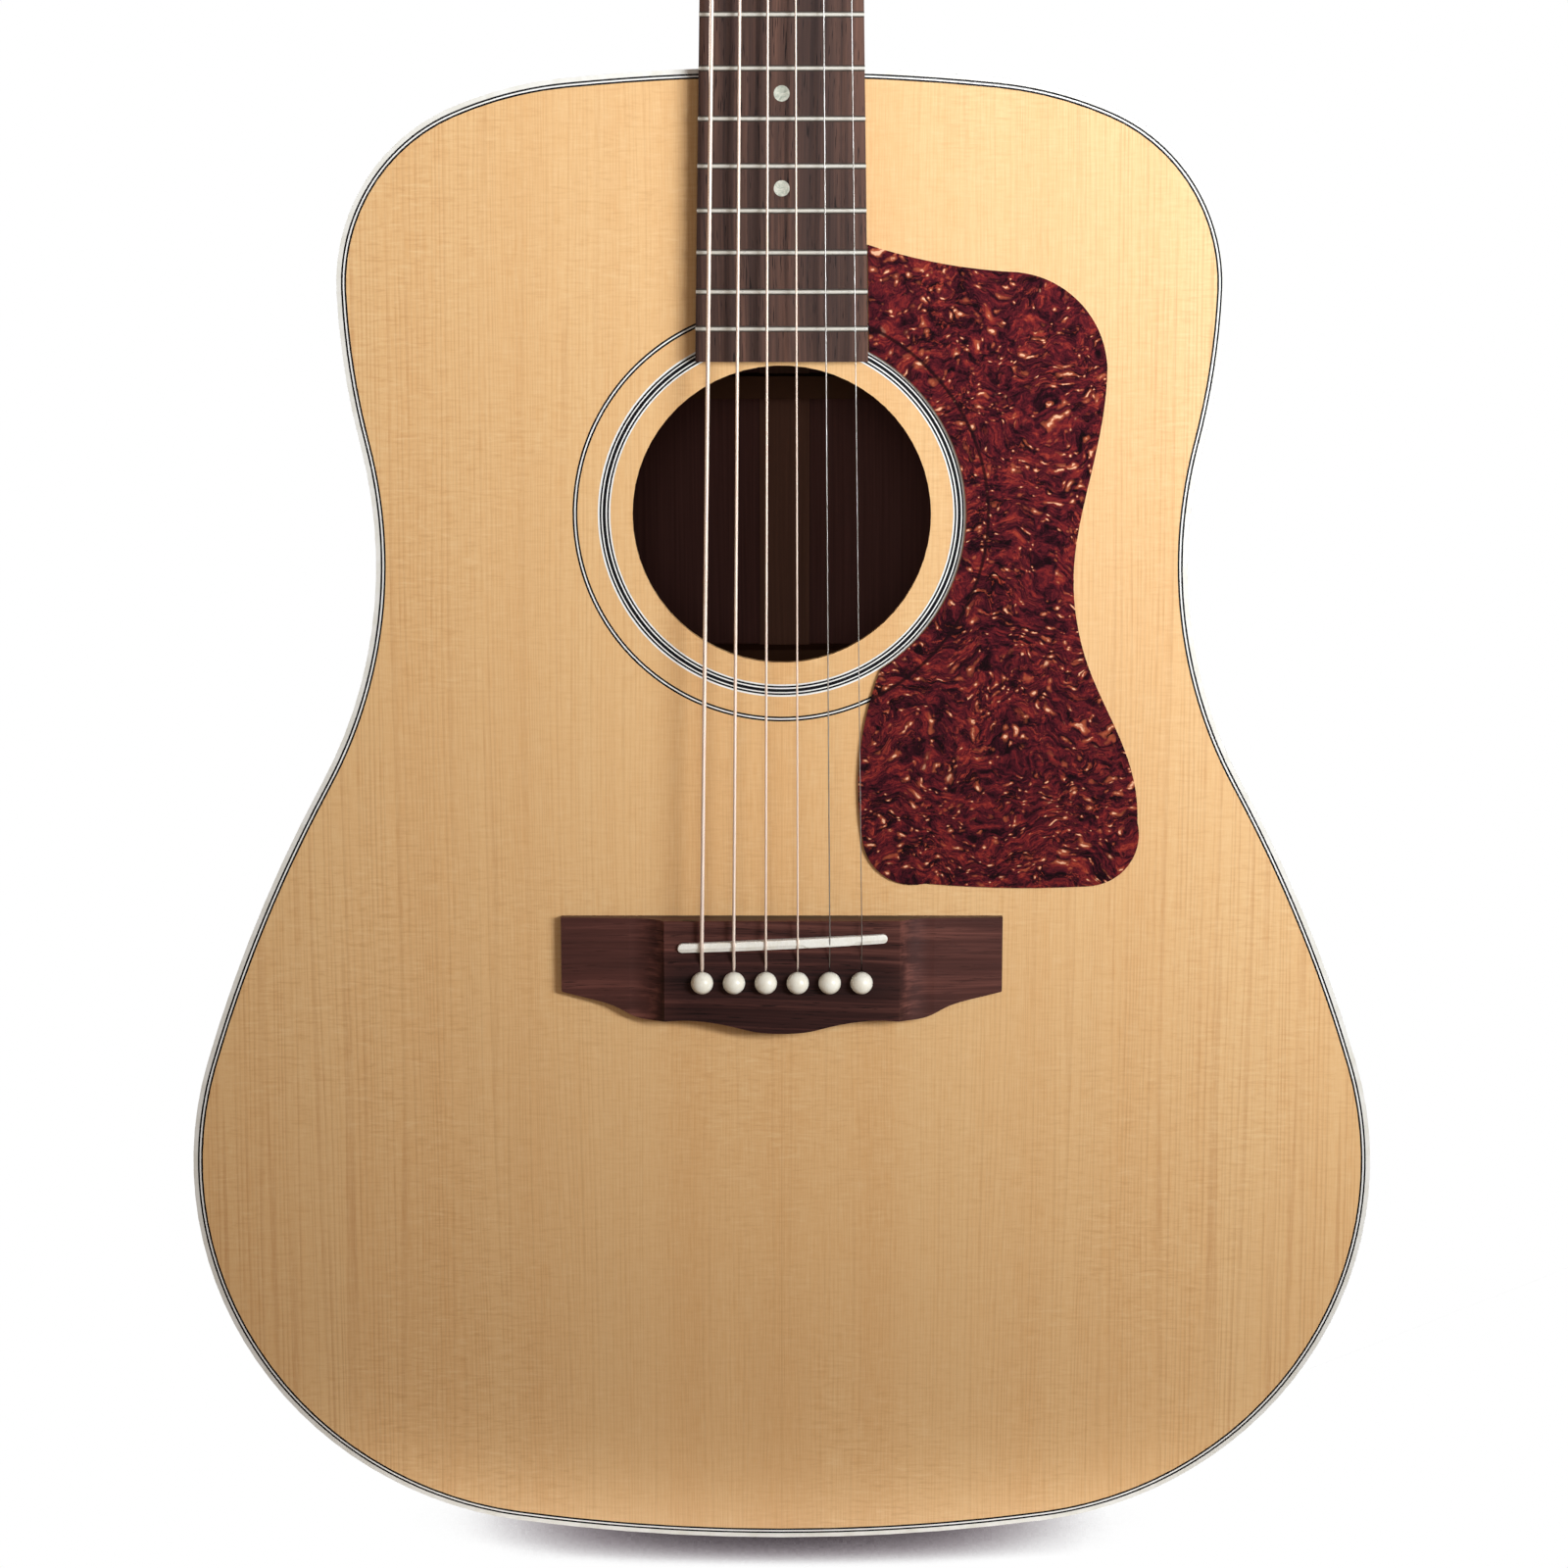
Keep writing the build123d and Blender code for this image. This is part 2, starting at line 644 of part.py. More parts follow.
def truss_pocket():
    """The recess in the headstock's face where the truss rod's nut is reached."""
    return slab(-4.6, 4.6, TRUSS_NUT_START - 1, 33, TRUSS_ROD_Z - 4.6, 5)


def truss_channel():
    """The slot under the fretboard that holds the rod."""
    half = TRUSS_ROD_RADIUS
    slot = slab(-half, half, -340, TRUSS_NUT_START, TRUSS_ROD_Z, 0)
    bore = Pos(0, (TRUSS_NUT_START - 340) / 2, TRUSS_ROD_Z) * Rot(90, 0, 0)
    return slot + bore * Cylinder(half, TRUSS_NUT_START + 340)


def make_neck():
    shaft = loft([
        neck_section(BODY_TOP - 3, fretboard_half_width(BODY_TOP), NECK_DEPTH_AT_HEEL),
        neck_section(0, fretboard_half_width(0), NECK_DEPTH_AT_NUT),
    ])
    under_nut = loft([
        neck_section(0, fretboard_half_width(0), NECK_DEPTH_AT_NUT),
        neck_section(26, 21.0, 21.5),
    ])
    face = on_head(slab(-60, 60, -60, 60, -60, -OVERLAY_THICKNESS))
    under_nut = (under_nut & face) + (under_nut & slab(-60, 60, 0, NUT_WIDTH, -60, 0))
    thickness = HEAD_THICKNESS - OVERLAY_THICKNESS
    head = on_head(Pos(0, 0, -HEAD_THICKNESS) * raised(head_outline(), thickness))
    head &= slab(-BIG, BIG, 2.0, BIG, -BIG, BIG)
    heel = heel_blank() & ABOVE_BACK_INSIDE
    heel -= body_prism(0, BOTTOM, 0)
    shaft -= body_prism(0, BOTTOM, 0)
    neck = shaft + under_nut + head + heel + (neck_tenon() - slab(-20, 20, BODY_TOP, 0, BOTTOM, 0))
    neck -= truss_pocket()
    neck -= truss_channel()
    for number in range(1, 7):
        neck -= post_bore(number)
    for screw in tuner_screws() + cover_screws():
        neck -= screw
    return neck


def make_heel_cap():
    cap = (heel_blank() & ABOVE_BACK_OUTSIDE) - ABOVE_BACK_INSIDE
    return cap - body_prism(0, BOTTOM, 0)


def make_overlay():
    plate = Pos(0, 0, -OVERLAY_THICKNESS) * raised(head_outline(), OVERLAY_THICKNESS)
    overlay = on_head(plate) & slab(-BIG, BIG, NUT_WIDTH, BIG, -BIG, BIG)
    overlay -= truss_pocket()
    for number in range(1, 7):
        overlay -= post_bore(number)
    for screw in cover_screws():
        overlay -= screw
    return overlay


def fretboard_blank():
    """The fretboard before slotting: tapered in width, with an arched face."""
    near = fretboard_half_width(0)
    far = fretboard_half_width(FRETBOARD_END)
    outline = Polyline((-near, 0), (near, 0), (far, FRETBOARD_END), (-far, FRETBOARD_END), close=True)
    block = raised(make_face(outline), FRETBOARD_THICKNESS + 1)
    centre_z = FRETBOARD_THICKNESS - FRETBOARD_RADIUS
    arch = Pos(0, FRETBOARD_END / 2, centre_z) * Rot(90, 0, 0) * Cylinder(FRETBOARD_RADIUS, 600)
    return block & arch


def make_fret(number):
    """T-shaped wire: a rounded crown bent to the fretboard's arch, over a thin tang."""
    y = fret_y(number)
    tang_width, tang_depth = FRET_TANG
    half = FRET_WIDTH / 2
    top = FRETBOARD_THICKNESS
    profile = Line((y - half, top), (y + half, top))
    profile += ThreePointArc((y + half, top), (y, top + FRET_HEIGHT), (y - half, top))
    axis = Axis((0, 0, top - FRETBOARD_RADIUS), (0, 1, 0))
    sweep_angle = math.degrees(fretboard_half_width(y) / FRETBOARD_RADIUS)
    crown = revolve(Plane.YZ * make_face(profile), axis, 2 * sweep_angle)
    crown = crown.rotate(axis, -sweep_angle)
    half_width = fretboard_half_width(y) - 0.1
    tang = slab(-half_width, half_width, y - tang_width / 2, y + tang_width / 2, top - tang_depth, top)
    arch = Pos(0, y, top - FRETBOARD_RADIUS) * Rot(90, 0, 0) * Cylinder(FRETBOARD_RADIUS, 10)
    return crown + (tang & arch)


def dot_pegs():
    """Round inlays: one between frets, two at the octave."""
    pegs = []
    for number in (3, 5, 7, 9, 12, 15, 17):
        y = (fret_y(number) + fret_y(number - 1)) / 2
        places = (-12.0, 12.0) if number == 12 else (0.0,)
        for x in places:
            pegs.append(peg(x, y, FRETBOARD_THICKNESS - 1.8, FRETBOARD_THICKNESS + 1, 2.6))
    return pegs


def make_dots():
    blank = fretboard_blank()
    return [item & blank for item in dot_pegs()]


def make_fretboard():
    """The fretboard with a slot for each fret and a socket for each dot."""
    board = fretboard_blank()
    tang_width, tang_depth = FRET_TANG
    top = FRETBOARD_THICKNESS
    for number in range(1, FRET_COUNT + 1):
        y = fret_y(number)
        half = fretboard_half_width(y) - 0.1
        board -= slab(-half, half, y - tang_width / 2, y + tang_width / 2, top - tang_depth, top + 1)
    for item in dot_pegs():
        board -= item
    return board


def make_nut():
    """Cream strip that guides the strings, sloping away towards the headstock."""
    half = NECK_WIDTH_AT_NUT / 2
    front = STRING_FLOOR_AT_NUT + 1.1
    outline = Polyline(
        (0, 0), (NUT_WIDTH, 0), (NUT_WIDTH, front - 2.6), (NUT_WIDTH - 1.2, front - 1.4),
        (0.8, front), (0, front - 0.4), close=True,
    )
    nut = extrude(Plane.YZ * make_face(outline), amount=half, both=True)
    centre_z = front - FRETBOARD_RADIUS
    nut &= Pos(0, 0, centre_z) * Rot(90, 0, 0) * Cylinder(FRETBOARD_RADIUS, 40)
    for number in range(1, 7):
        points = string_points(number)
        nut -= string_tube(number, STRING_GROOVE_CLEARANCE)
        nut -= string_slot(number, points[3] - Vector(0, 1, -0.1), points[3], 20)
        nut -= string_slot(number, points[3], points[4], 20)
    return nut


# ---------------------------------------------------------------- truss rod and its cover
def make_truss_rod():
    length = TRUSS_NUT_START + 6 + 338
    place = Pos(0, TRUSS_NUT_START + 6 - length / 2, TRUSS_ROD_Z) * Rot(90, 0, 0)
    return place * Cylinder(TRUSS_ROD_RADIUS, length)


def make_truss_nut():
    """Hexagonal nut turning on the end of the rod, hollow for a key at its free end."""
    middle = TRUSS_NUT_START + TRUSS_NUT_LENGTH / 2
    turn = Pos(0, middle, TRUSS_ROD_Z) * Rot(90, 0, 0)
    blank = extrude(RegularPolygon(4.0, 6), amount=TRUSS_NUT_LENGTH / 2, both=True)
    bore = Cylinder(TRUSS_ROD_RADIUS + RUNNING_CLEARANCE, 20)
    nut = turn * blank
    start = TRUSS_NUT_START
    nut -= Pos(0, start - 10 + 6.5, TRUSS_ROD_Z) * Rot(90, 0, 0) * bore
    key = extrude(RegularPolygon(2.3, 6), amount=2.5, both=True)
    return nut - Pos(0, start + TRUSS_NUT_LENGTH, TRUSS_ROD_Z) * Rot(90, 0, 0) * key


COVER_SCREWS = ((0.0, 39.0), (-8.4, 8.5), (8.4, 8.5))


def make_truss_cover():
    """A small bell-shaped plate over the pocket."""
    edges = [Line((0, 2), (13, 2))]
    edges.append(ThreePointArc((13, 2), (11.5, 14), (7.0, 24)))
    edges.append(ThreePointArc((7.0, 24), (5.6, 34), (4.2, 41)))
    right = list(edges)
    left = [edge.mirror(Plane.YZ) for edge in right]
    tip = ThreePointArc((4.2, 41), (0, 43.5), (-4.2, 41))
    plate = raised(Face(Wire(right + left + [tip])), 1.6)
    cover = on_head(plate)
    for screw in cover_screws():
        cover -= screw
    return cover


def small_screw(length):
    """A round-headed screw, its head's underside at z = 0 and its slot across x."""
    shank = Pos(0, 0, -length / 2) * Cylinder(0.9, length)
    profile = Line((0, 0), (1.9, 0)) + ThreePointArc((1.9, 0), (1.25, 0.85), (0, 1.1))
    profile += Line((0, 1.1), (0, 0))
    plane = Plane(origin=(0, 0, 0), x_dir=(1, 0, 0), z_dir=(0, -1, 0))
    head = revolve(plane * make_face(profile), Axis.Z, 360)
    return shank + head - slab(-3, 3, -0.2, 0.2, 0.5, 2)


def cover_screws():
    return [on_head(Pos(x, v, 1.6) * small_screw(8)) for x, v in COVER_SCREWS]


# ---------------------------------------------------------------- tuning machines
# Each machine is modelled for the treble side about its post, with the headstock's face at
# z = 0 and the key pointing to +x, and mirrored for the bass side.
PLATE_BACK = -HEAD_THICKNESS - PLATE_THICKNESS
GEAR_MIDDLE = PLATE_BACK - 0.3 - WORM_RADIUS
LUG_GAP = 6.0
LUG_THICKNESS = 1.6
PLATE_LENGTH = 30.0
PLATE_WIDTH = 14.0


def place_tuner(number, shape):
    across, along = post_place(number)
    if across < 0:
        shape = shape.mirror(Plane.YZ)
    return on_head(Pos(across, along, 0) * shape)


def post_bore(number):
    """The stepped hole through the headstock: a running bore, wider for the bushing."""
    bore = peg(0, 0, -HEAD_THICKNESS - 1, 1, POST_RADIUS + 0.3)
    return place_tuner(number, bore + peg(0, 0, -7, 1, 4.6))


def make_bushing(number):
    sleeve = peg(0, 0, -7, 0, 4.6) + peg(0, 0, 0, 0.7, 6.2)
    ring = Pos(0, 0, 0.7 + 0.35) * Cone(6.2, 5.2, 0.7)
    return place_tuner(number, sleeve + ring - peg(0, 0, -8, 3, POST_RADIUS + RUNNING_CLEARANCE))


def make_plate(number):
    """Base plate with two folded lugs that carry the worm's shaft."""
    base = Rectangle(PLATE_WIDTH, PLATE_LENGTH)
    base = fillet(base.vertices(), 3.0)
    plate = Pos(0, 2.5, PLATE_BACK) * raised(base, PLATE_THICKNESS)
    deep = GEAR_MIDDLE - SHAFT_RADIUS - 1.6
    for sign in (1, -1):
        x = sign * (LUG_GAP + LUG_THICKNESS / 2)
        lug_half = LUG_THICKNESS / 2
        plate += slab(x - lug_half, x + lug_half, WORM_OFFSET - 4, WORM_OFFSET + 4, deep, PLATE_BACK)
    tab = PLATE_WIDTH / 2 + 0.6
    for start, end in ((LUG_GAP, tab), (-tab, -LUG_GAP)):
        plate += slab(start, end, WORM_OFFSET - 4, WORM_OFFSET + 4, PLATE_BACK, -HEAD_THICKNESS)
    shaft = Rot(0, 90, 0) * Cylinder(SHAFT_RADIUS + RUNNING_CLEARANCE, 40)
    plate -= Pos(0, WORM_OFFSET, GEAR_MIDDLE) * shaft
    plate -= peg(0, 0, -30, 0, POST_RADIUS + 0.3)
    plate = place_tuner(number, plate)
    for screw in plate_screws(number):
        plate -= screw
    return plate


def plate_screws(number):
    screws = []
    for y in (-9.3, 15.3):
        flip = Pos(0, y, PLATE_BACK) * Rot(180, 0, 0)
        screws.append(place_tuner(number, flip * small_screw(9)))
    return screws


def tuner_screws():
    screws = []
    for number in range(1, 7):
        screws.extend(plate_screws(number))
    return screws


def make_post(number):
    """String post with its gear wheel, and the screw that holds the wheel on."""
    post = peg(0, 0, GEAR_MIDDLE + GEAR_THICKNESS / 2, POST_TOP, POST_RADIUS)
    post = chamfer(post.edges().filter_by(GeomType.CIRCLE).sort_by(Axis.Z)[-1], 0.5)
    wheel = peg(0, 0, GEAR_MIDDLE - GEAR_THICKNESS / 2, GEAR_MIDDLE + GEAR_THICKNESS / 2, GEAR_RADIUS)
    teeth = 16
    for index in range(teeth):
        notch = Pos(GEAR_RADIUS + 0.15, 0, GEAR_MIDDLE) * Cylinder(0.62, GEAR_THICKNESS + 1)
        wheel -= Rot(0, 0, 360 * index / teeth) * notch
    hole = Pos(0, 0, winding_height(number) + 2.4) * Rot(90, 0, 0) * Cylinder(0.9, 20)
    body = post + wheel - hole
    screw = Pos(0, 0, GEAR_MIDDLE - GEAR_THICKNESS / 2) * Rot(180, 0, 0) * small_screw(3)
    return place_tuner(number, body - screw), place_tuner(number, screw)


def head_half_width(v):
    """Half the headstock's width, along its straight flank."""
    return 30.5 + (36.0 - 30.5) * (v - 22) / (HEAD_LENGTH - 31)


def make_key(number):
    """Worm on its shaft, and the oval button that turns it."""
    across, along = post_place(number)
    edge = head_half_width(along) - abs(across)
    neck_end = edge + 7.5
    turn = Pos(0, WORM_OFFSET, GEAR_MIDDLE) * Rot(0, 90, 0)
    inner = -LUG_GAP - LUG_THICKNESS - 0.8
    shaft = turn * peg(0, 0, inner, neck_end, SHAFT_RADIUS)
    worm = turn * peg(0, 0, -LUG_GAP + 0.3, LUG_GAP - 0.3, WORM_RADIUS)
    grooves = 5
    for index in range(grooves):
        step = (index - (grooves - 1) / 2) * 1.9
        groove = peg(0, 0, step - 0.45, step + 0.45, WORM_RADIUS + 1)
        groove -= peg(0, 0, step - 0.45, step + 0.45, WORM_RADIUS - 0.8)
        worm -= turn * groove
    collar = turn * peg(0, 0, LUG_GAP + LUG_THICKNESS + 0.3, LUG_GAP + LUG_THICKNESS + 2.3, 2.9)
    metal = shaft + worm + collar
    blank = extrude(Ellipse(7.0, 9.2), amount=3.0, both=True)
    edges = blank.edges().filter_by(GeomType.ELLIPSE)
    button = Pos(neck_end + 5.5, WORM_OFFSET, GEAR_MIDDLE) * fillet(edges, 2.2)
    ferrule = turn * Pos(0, 0, neck_end - 2.4) * Cone(2.3, 3.0, 3.2)
    button += ferrule
    return place_tuner(number, metal - button), place_tuner(number, button)


# ---------------------------------------------------------------- pickguard and tail fitting
def make_pickguard():
    """Teardrop plate that follows the rosette, the fretboard's edge and the waist."""
    follow = ROSETTE_MAIN[0] + sum(ROSETTE_MAIN[1]) + 0.2
    gap = 0.4
    upper_y = -416.6
    lower = (33.3, HOLE_Y - math.sqrt(follow ** 2 - 33.3 ** 2))
    side = fretboard_half_width(HOLE_Y + 55) + gap
    upper = (side, HOLE_Y + math.sqrt(follow ** 2 - side ** 2))
    start = (fretboard_half_width(upper_y) + gap, upper_y)
    edges = [
        Spline(start, (52, -422.6), (78, -425.6)),
        ThreePointArc((78, -425.6), (100.4, -437.4), (108.2, -457)),
        Spline((108.2, -457), (104.3, -488), (98.0, -525), (103.5, -558), (114.8, -583), (120.8, -611)),
        ThreePointArc((120.8, -611), (116.3, -628), (104, -633.3)),
        ThreePointArc((104, -633.3), (76, -633.8), (49, -632.3)),
        ThreePointArc((49, -632.3), (33.2, -628.4), (27.4, -617)),
        ThreePointArc((27.4, -617), (26.4, -588), lower),
        ThreePointArc(lower, (follow, HOLE_Y), upper),
        Line(upper, start),
    ]
    return raised(Face(Wire(edges)), 1.1)


STRAP_Z = -56.0


def strap_screw_space():
    return Pos(0, BODY_TAIL + 14, STRAP_Z) * Rot(90, 0, 0) * Cylinder(1.6, 34)


def make_strap_button():
    """Waisted button on a wood screw into the tail block."""
    tail = half_outline(0)[-1] @ 1
    profile = Polyline((1.6, 0), (6.2, 0), (6.2, 1.4))
    profile += ThreePointArc((6.2, 1.4), (4.0, 4.6), (4.6, 8.2))
    profile += Polyline((4.6, 8.2), (7.4, 9.6), (7.4, 11.0), (6.4, 12.0), (1.6, 12.0), (1.6, 0))
    plane = Plane(origin=(0, 0, 0), x_dir=(1, 0, 0), z_dir=(0, -1, 0))
    knob = revolve(plane * make_face(profile), Axis.Z, 360)
    shank = peg(0, 0, -22, 12, 1.6)
    cap = Line((0, 12), (3.4, 12)) + ThreePointArc((3.4, 12), (2.3, 13.2), (0, 13.7))
    cap += Line((0, 13.7), (0, 12))
    screw = shank + revolve(plane * make_face(cap), Axis.Z, 360)
    screw -= slab(-4, 4, -0.4, 0.4, 13.0, 15)
    screw -= slab(-0.4, 0.4, -4, 4, 13.0, 15)
    place = Pos(0, tail.Y, STRAP_Z) * Rot(90, 0, 0)
    return place * knob, place * screw


# ---------------------------------------------------------------- strings
def make_string(number):
    """String with its ball end, its first turn on the post and the turns packed below that."""
    radius = STRING_RADII[number - 1]
    points = string_points(number)
    ball = Pos(points[0].X, points[0].Y, points[0].Z) * Rot(0, 90, 0) * Cylinder(1.9, 3.2)
    tube = string_tube(number) - ball
    across, along = post_place(number)
    wrap = POST_RADIUS + radius + RUNNING_CLEARANCE
    turns = []
    for index in range(1, STRING_TURNS[number - 1] + 1):
        w = winding_height(number) - index * (2 * radius + 0.02)
        turns.append(on_head(Pos(across, along, w) * Torus(wrap, radius)))
    return [tube, ball] + turns


# ---------------------------------------------------------------- assembly
def main():
    os.makedirs("parts", exist_ok=True)

    save("soundboard", make_soundboard())
    save("rosette", *make_rosette())
    save("top_purfling", *make_purfling())
    save("top_binding", body_ring(0, BINDING_WIDTH, -BINDING_HEIGHT, 0))
    save("back_plate", make_back())
    save("back_binding", make_back_binding())
    bass, treble, graft = make_sides()
    save("side_bass", bass)
    save("side_treble", treble)
    save("end_graft", graft)
    save("neck_block", make_neck_block())
    save("tail_block", make_tail_block())
    top_linings, back_linings = make_linings()
    save("top_linings", top_linings)
    save("back_linings", back_linings)
    x_braces, top_braces = make_top_braces()
    save("x_braces", *x_braces)
    save("top_braces", *top_braces)
    back_braces, strip = make_back_braces()
    save("back_braces", *back_braces)
    save("back_centre_strip", strip)

    save("bridge", make_bridge())
    save("saddle", make_saddle())
    save("bridge_plate", make_bridge_plate())
    for number in range(1, 7):
        save(f"bridge_pin_{number}", make_bridge_pin(number))
        save(f"string_{number}", *make_string(number))

    save("fretboard", make_fretboard())
    save("frets", *[make_fret(number) for number in range(1, FRET_COUNT + 1)])
    save("position_dots", *make_dots())
    save("nut", make_nut())
    save("neck", make_neck())
    save("heel_cap", make_heel_cap())
    save("headstock_overlay", make_overlay())
    save("truss_rod", make_truss_rod())
    save("truss_rod_nut", make_truss_nut())
    save("truss_rod_cover", make_truss_cover())
    save("small_screws", *(tuner_screws() + cover_screws()))

    save("tuner_plates", *[make_plate(number) for number in range(1, 7)])
    save("tuner_bushings", *[make_bushing(number) for number in range(1, 7)])
    for number in range(1, 7):
        save(f"string_post_{number}", *make_post(number))
        save(f"tuner_key_{number}", *make_key(number))

    save("pickguard", make_pickguard())
    save("strap_button", *make_strap_button())


main()
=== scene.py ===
import math

import bmesh
import bpy
from mathutils import Matrix, Vector


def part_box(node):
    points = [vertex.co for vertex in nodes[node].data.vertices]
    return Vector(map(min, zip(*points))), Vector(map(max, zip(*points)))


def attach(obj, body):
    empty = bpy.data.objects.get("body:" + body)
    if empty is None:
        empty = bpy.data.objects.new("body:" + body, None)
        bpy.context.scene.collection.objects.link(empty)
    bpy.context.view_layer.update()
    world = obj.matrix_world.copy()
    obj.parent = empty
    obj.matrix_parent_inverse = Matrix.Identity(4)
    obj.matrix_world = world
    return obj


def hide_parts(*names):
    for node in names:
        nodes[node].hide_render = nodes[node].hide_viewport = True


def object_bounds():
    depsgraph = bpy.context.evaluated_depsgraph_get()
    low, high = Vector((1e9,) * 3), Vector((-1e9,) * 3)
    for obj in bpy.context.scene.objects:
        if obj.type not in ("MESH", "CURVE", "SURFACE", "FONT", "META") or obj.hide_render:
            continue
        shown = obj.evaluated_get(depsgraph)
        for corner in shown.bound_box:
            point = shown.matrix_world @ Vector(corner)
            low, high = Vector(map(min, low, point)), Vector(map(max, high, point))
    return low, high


# A steel-string acoustic guitar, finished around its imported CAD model.
# The frame is in metres: +Z runs along the strings towards the headstock, the soundboard's face is
# the plane y = 0 and looks towards -Y, and +X is the treble side.  The nut is at the origin.

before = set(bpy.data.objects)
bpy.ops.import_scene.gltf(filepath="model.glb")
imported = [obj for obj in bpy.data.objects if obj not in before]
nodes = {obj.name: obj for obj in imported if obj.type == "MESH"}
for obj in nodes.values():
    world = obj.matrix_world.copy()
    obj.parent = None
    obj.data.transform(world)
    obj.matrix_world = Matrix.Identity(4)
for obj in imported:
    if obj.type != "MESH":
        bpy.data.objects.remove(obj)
cad_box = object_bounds()

MM = 0.001
BODY = "guitar"

# Outline of the body at the rim: (radius in mm, turn in degrees), clockwise from the neck end.
OUTLINE_ARCS = (
    (728.8, 5.59), (128.8, 17.53), (63.3, 68.55), (243.9, 12.00),
    (159.6, -42.55), (524.4, 11.72), (129.0, 99.18),
)
OUTLINE_STEPS_PER_DEGREE = 0.45
BINDING_WIDTH = 1.55 * MM
# Lines of the inlays, (tone, width in mm): from the edge inwards, and from an inner radius outwards.
PURFLING = (("black", 0.6), ("white", 0.5), ("black", 0.6))
ROSETTE_MAIN = (57.4, (("white", 0.5), ("black", 0.6), ("white", 0.45), ("black", 1.05),
                       ("white", 0.4), ("black", 0.6), ("white", 0.6)))
ROSETTE_OUTER = (68.4, (("black", 0.6), ("white", 0.45), ("black", 0.6)))
INLAY_DEPTH = 1.2 * MM
INLAY_PROUD = 0.03 * MM
SPRUCE_WARM = (0.78, 0.443, 0.181)
SPRUCE_MID = (0.81, 0.482, 0.208)
SPRUCE_PALE = (0.83, 0.517, 0.234)
SPRUCE_LATE = (0.56, 0.255, 0.085)
SPRUCE_BRIGHT = (0.94, 0.68, 0.36)
# The bridge's wood turns paler beyond these distances from its middle.
PALE_FROM = 30 * MM
PALE_TO = 55 * MM
# Radius at which the rosette's outer lines show through the pickguard.
GUARD_RING_RADIUS = 69.15 * MM
BUTTON_LENGTH = 16.5 * MM
STRING_COUNT = 6
# Spacing of the winding's turns on the wound strings, by string number, in metres.
WINDING_PITCH = {3: 0.26 * MM, 4: 0.32 * MM, 5: 0.40 * MM, 6: 0.48 * MM}

AMBIENT = (0.150, 0.105, 0.075)
WHITE = (1.0, 1.0, 1.0)
FLOOR_GAP = 1.0 * MM
FLOOR_HALF_WIDTH = 40.0
# The floor's painted contact shadow darkens it under anything nearer than this.
SHADOW_REACH = 0.15
CAMERA_PLACE = (0.00076, -1.2556, -0.3596)
CAMERA_TILT = 10.75
CAMERA_LENS = 86.47
SENSOR_WIDTH = 36.0
CAMERA_REACH = 200.0


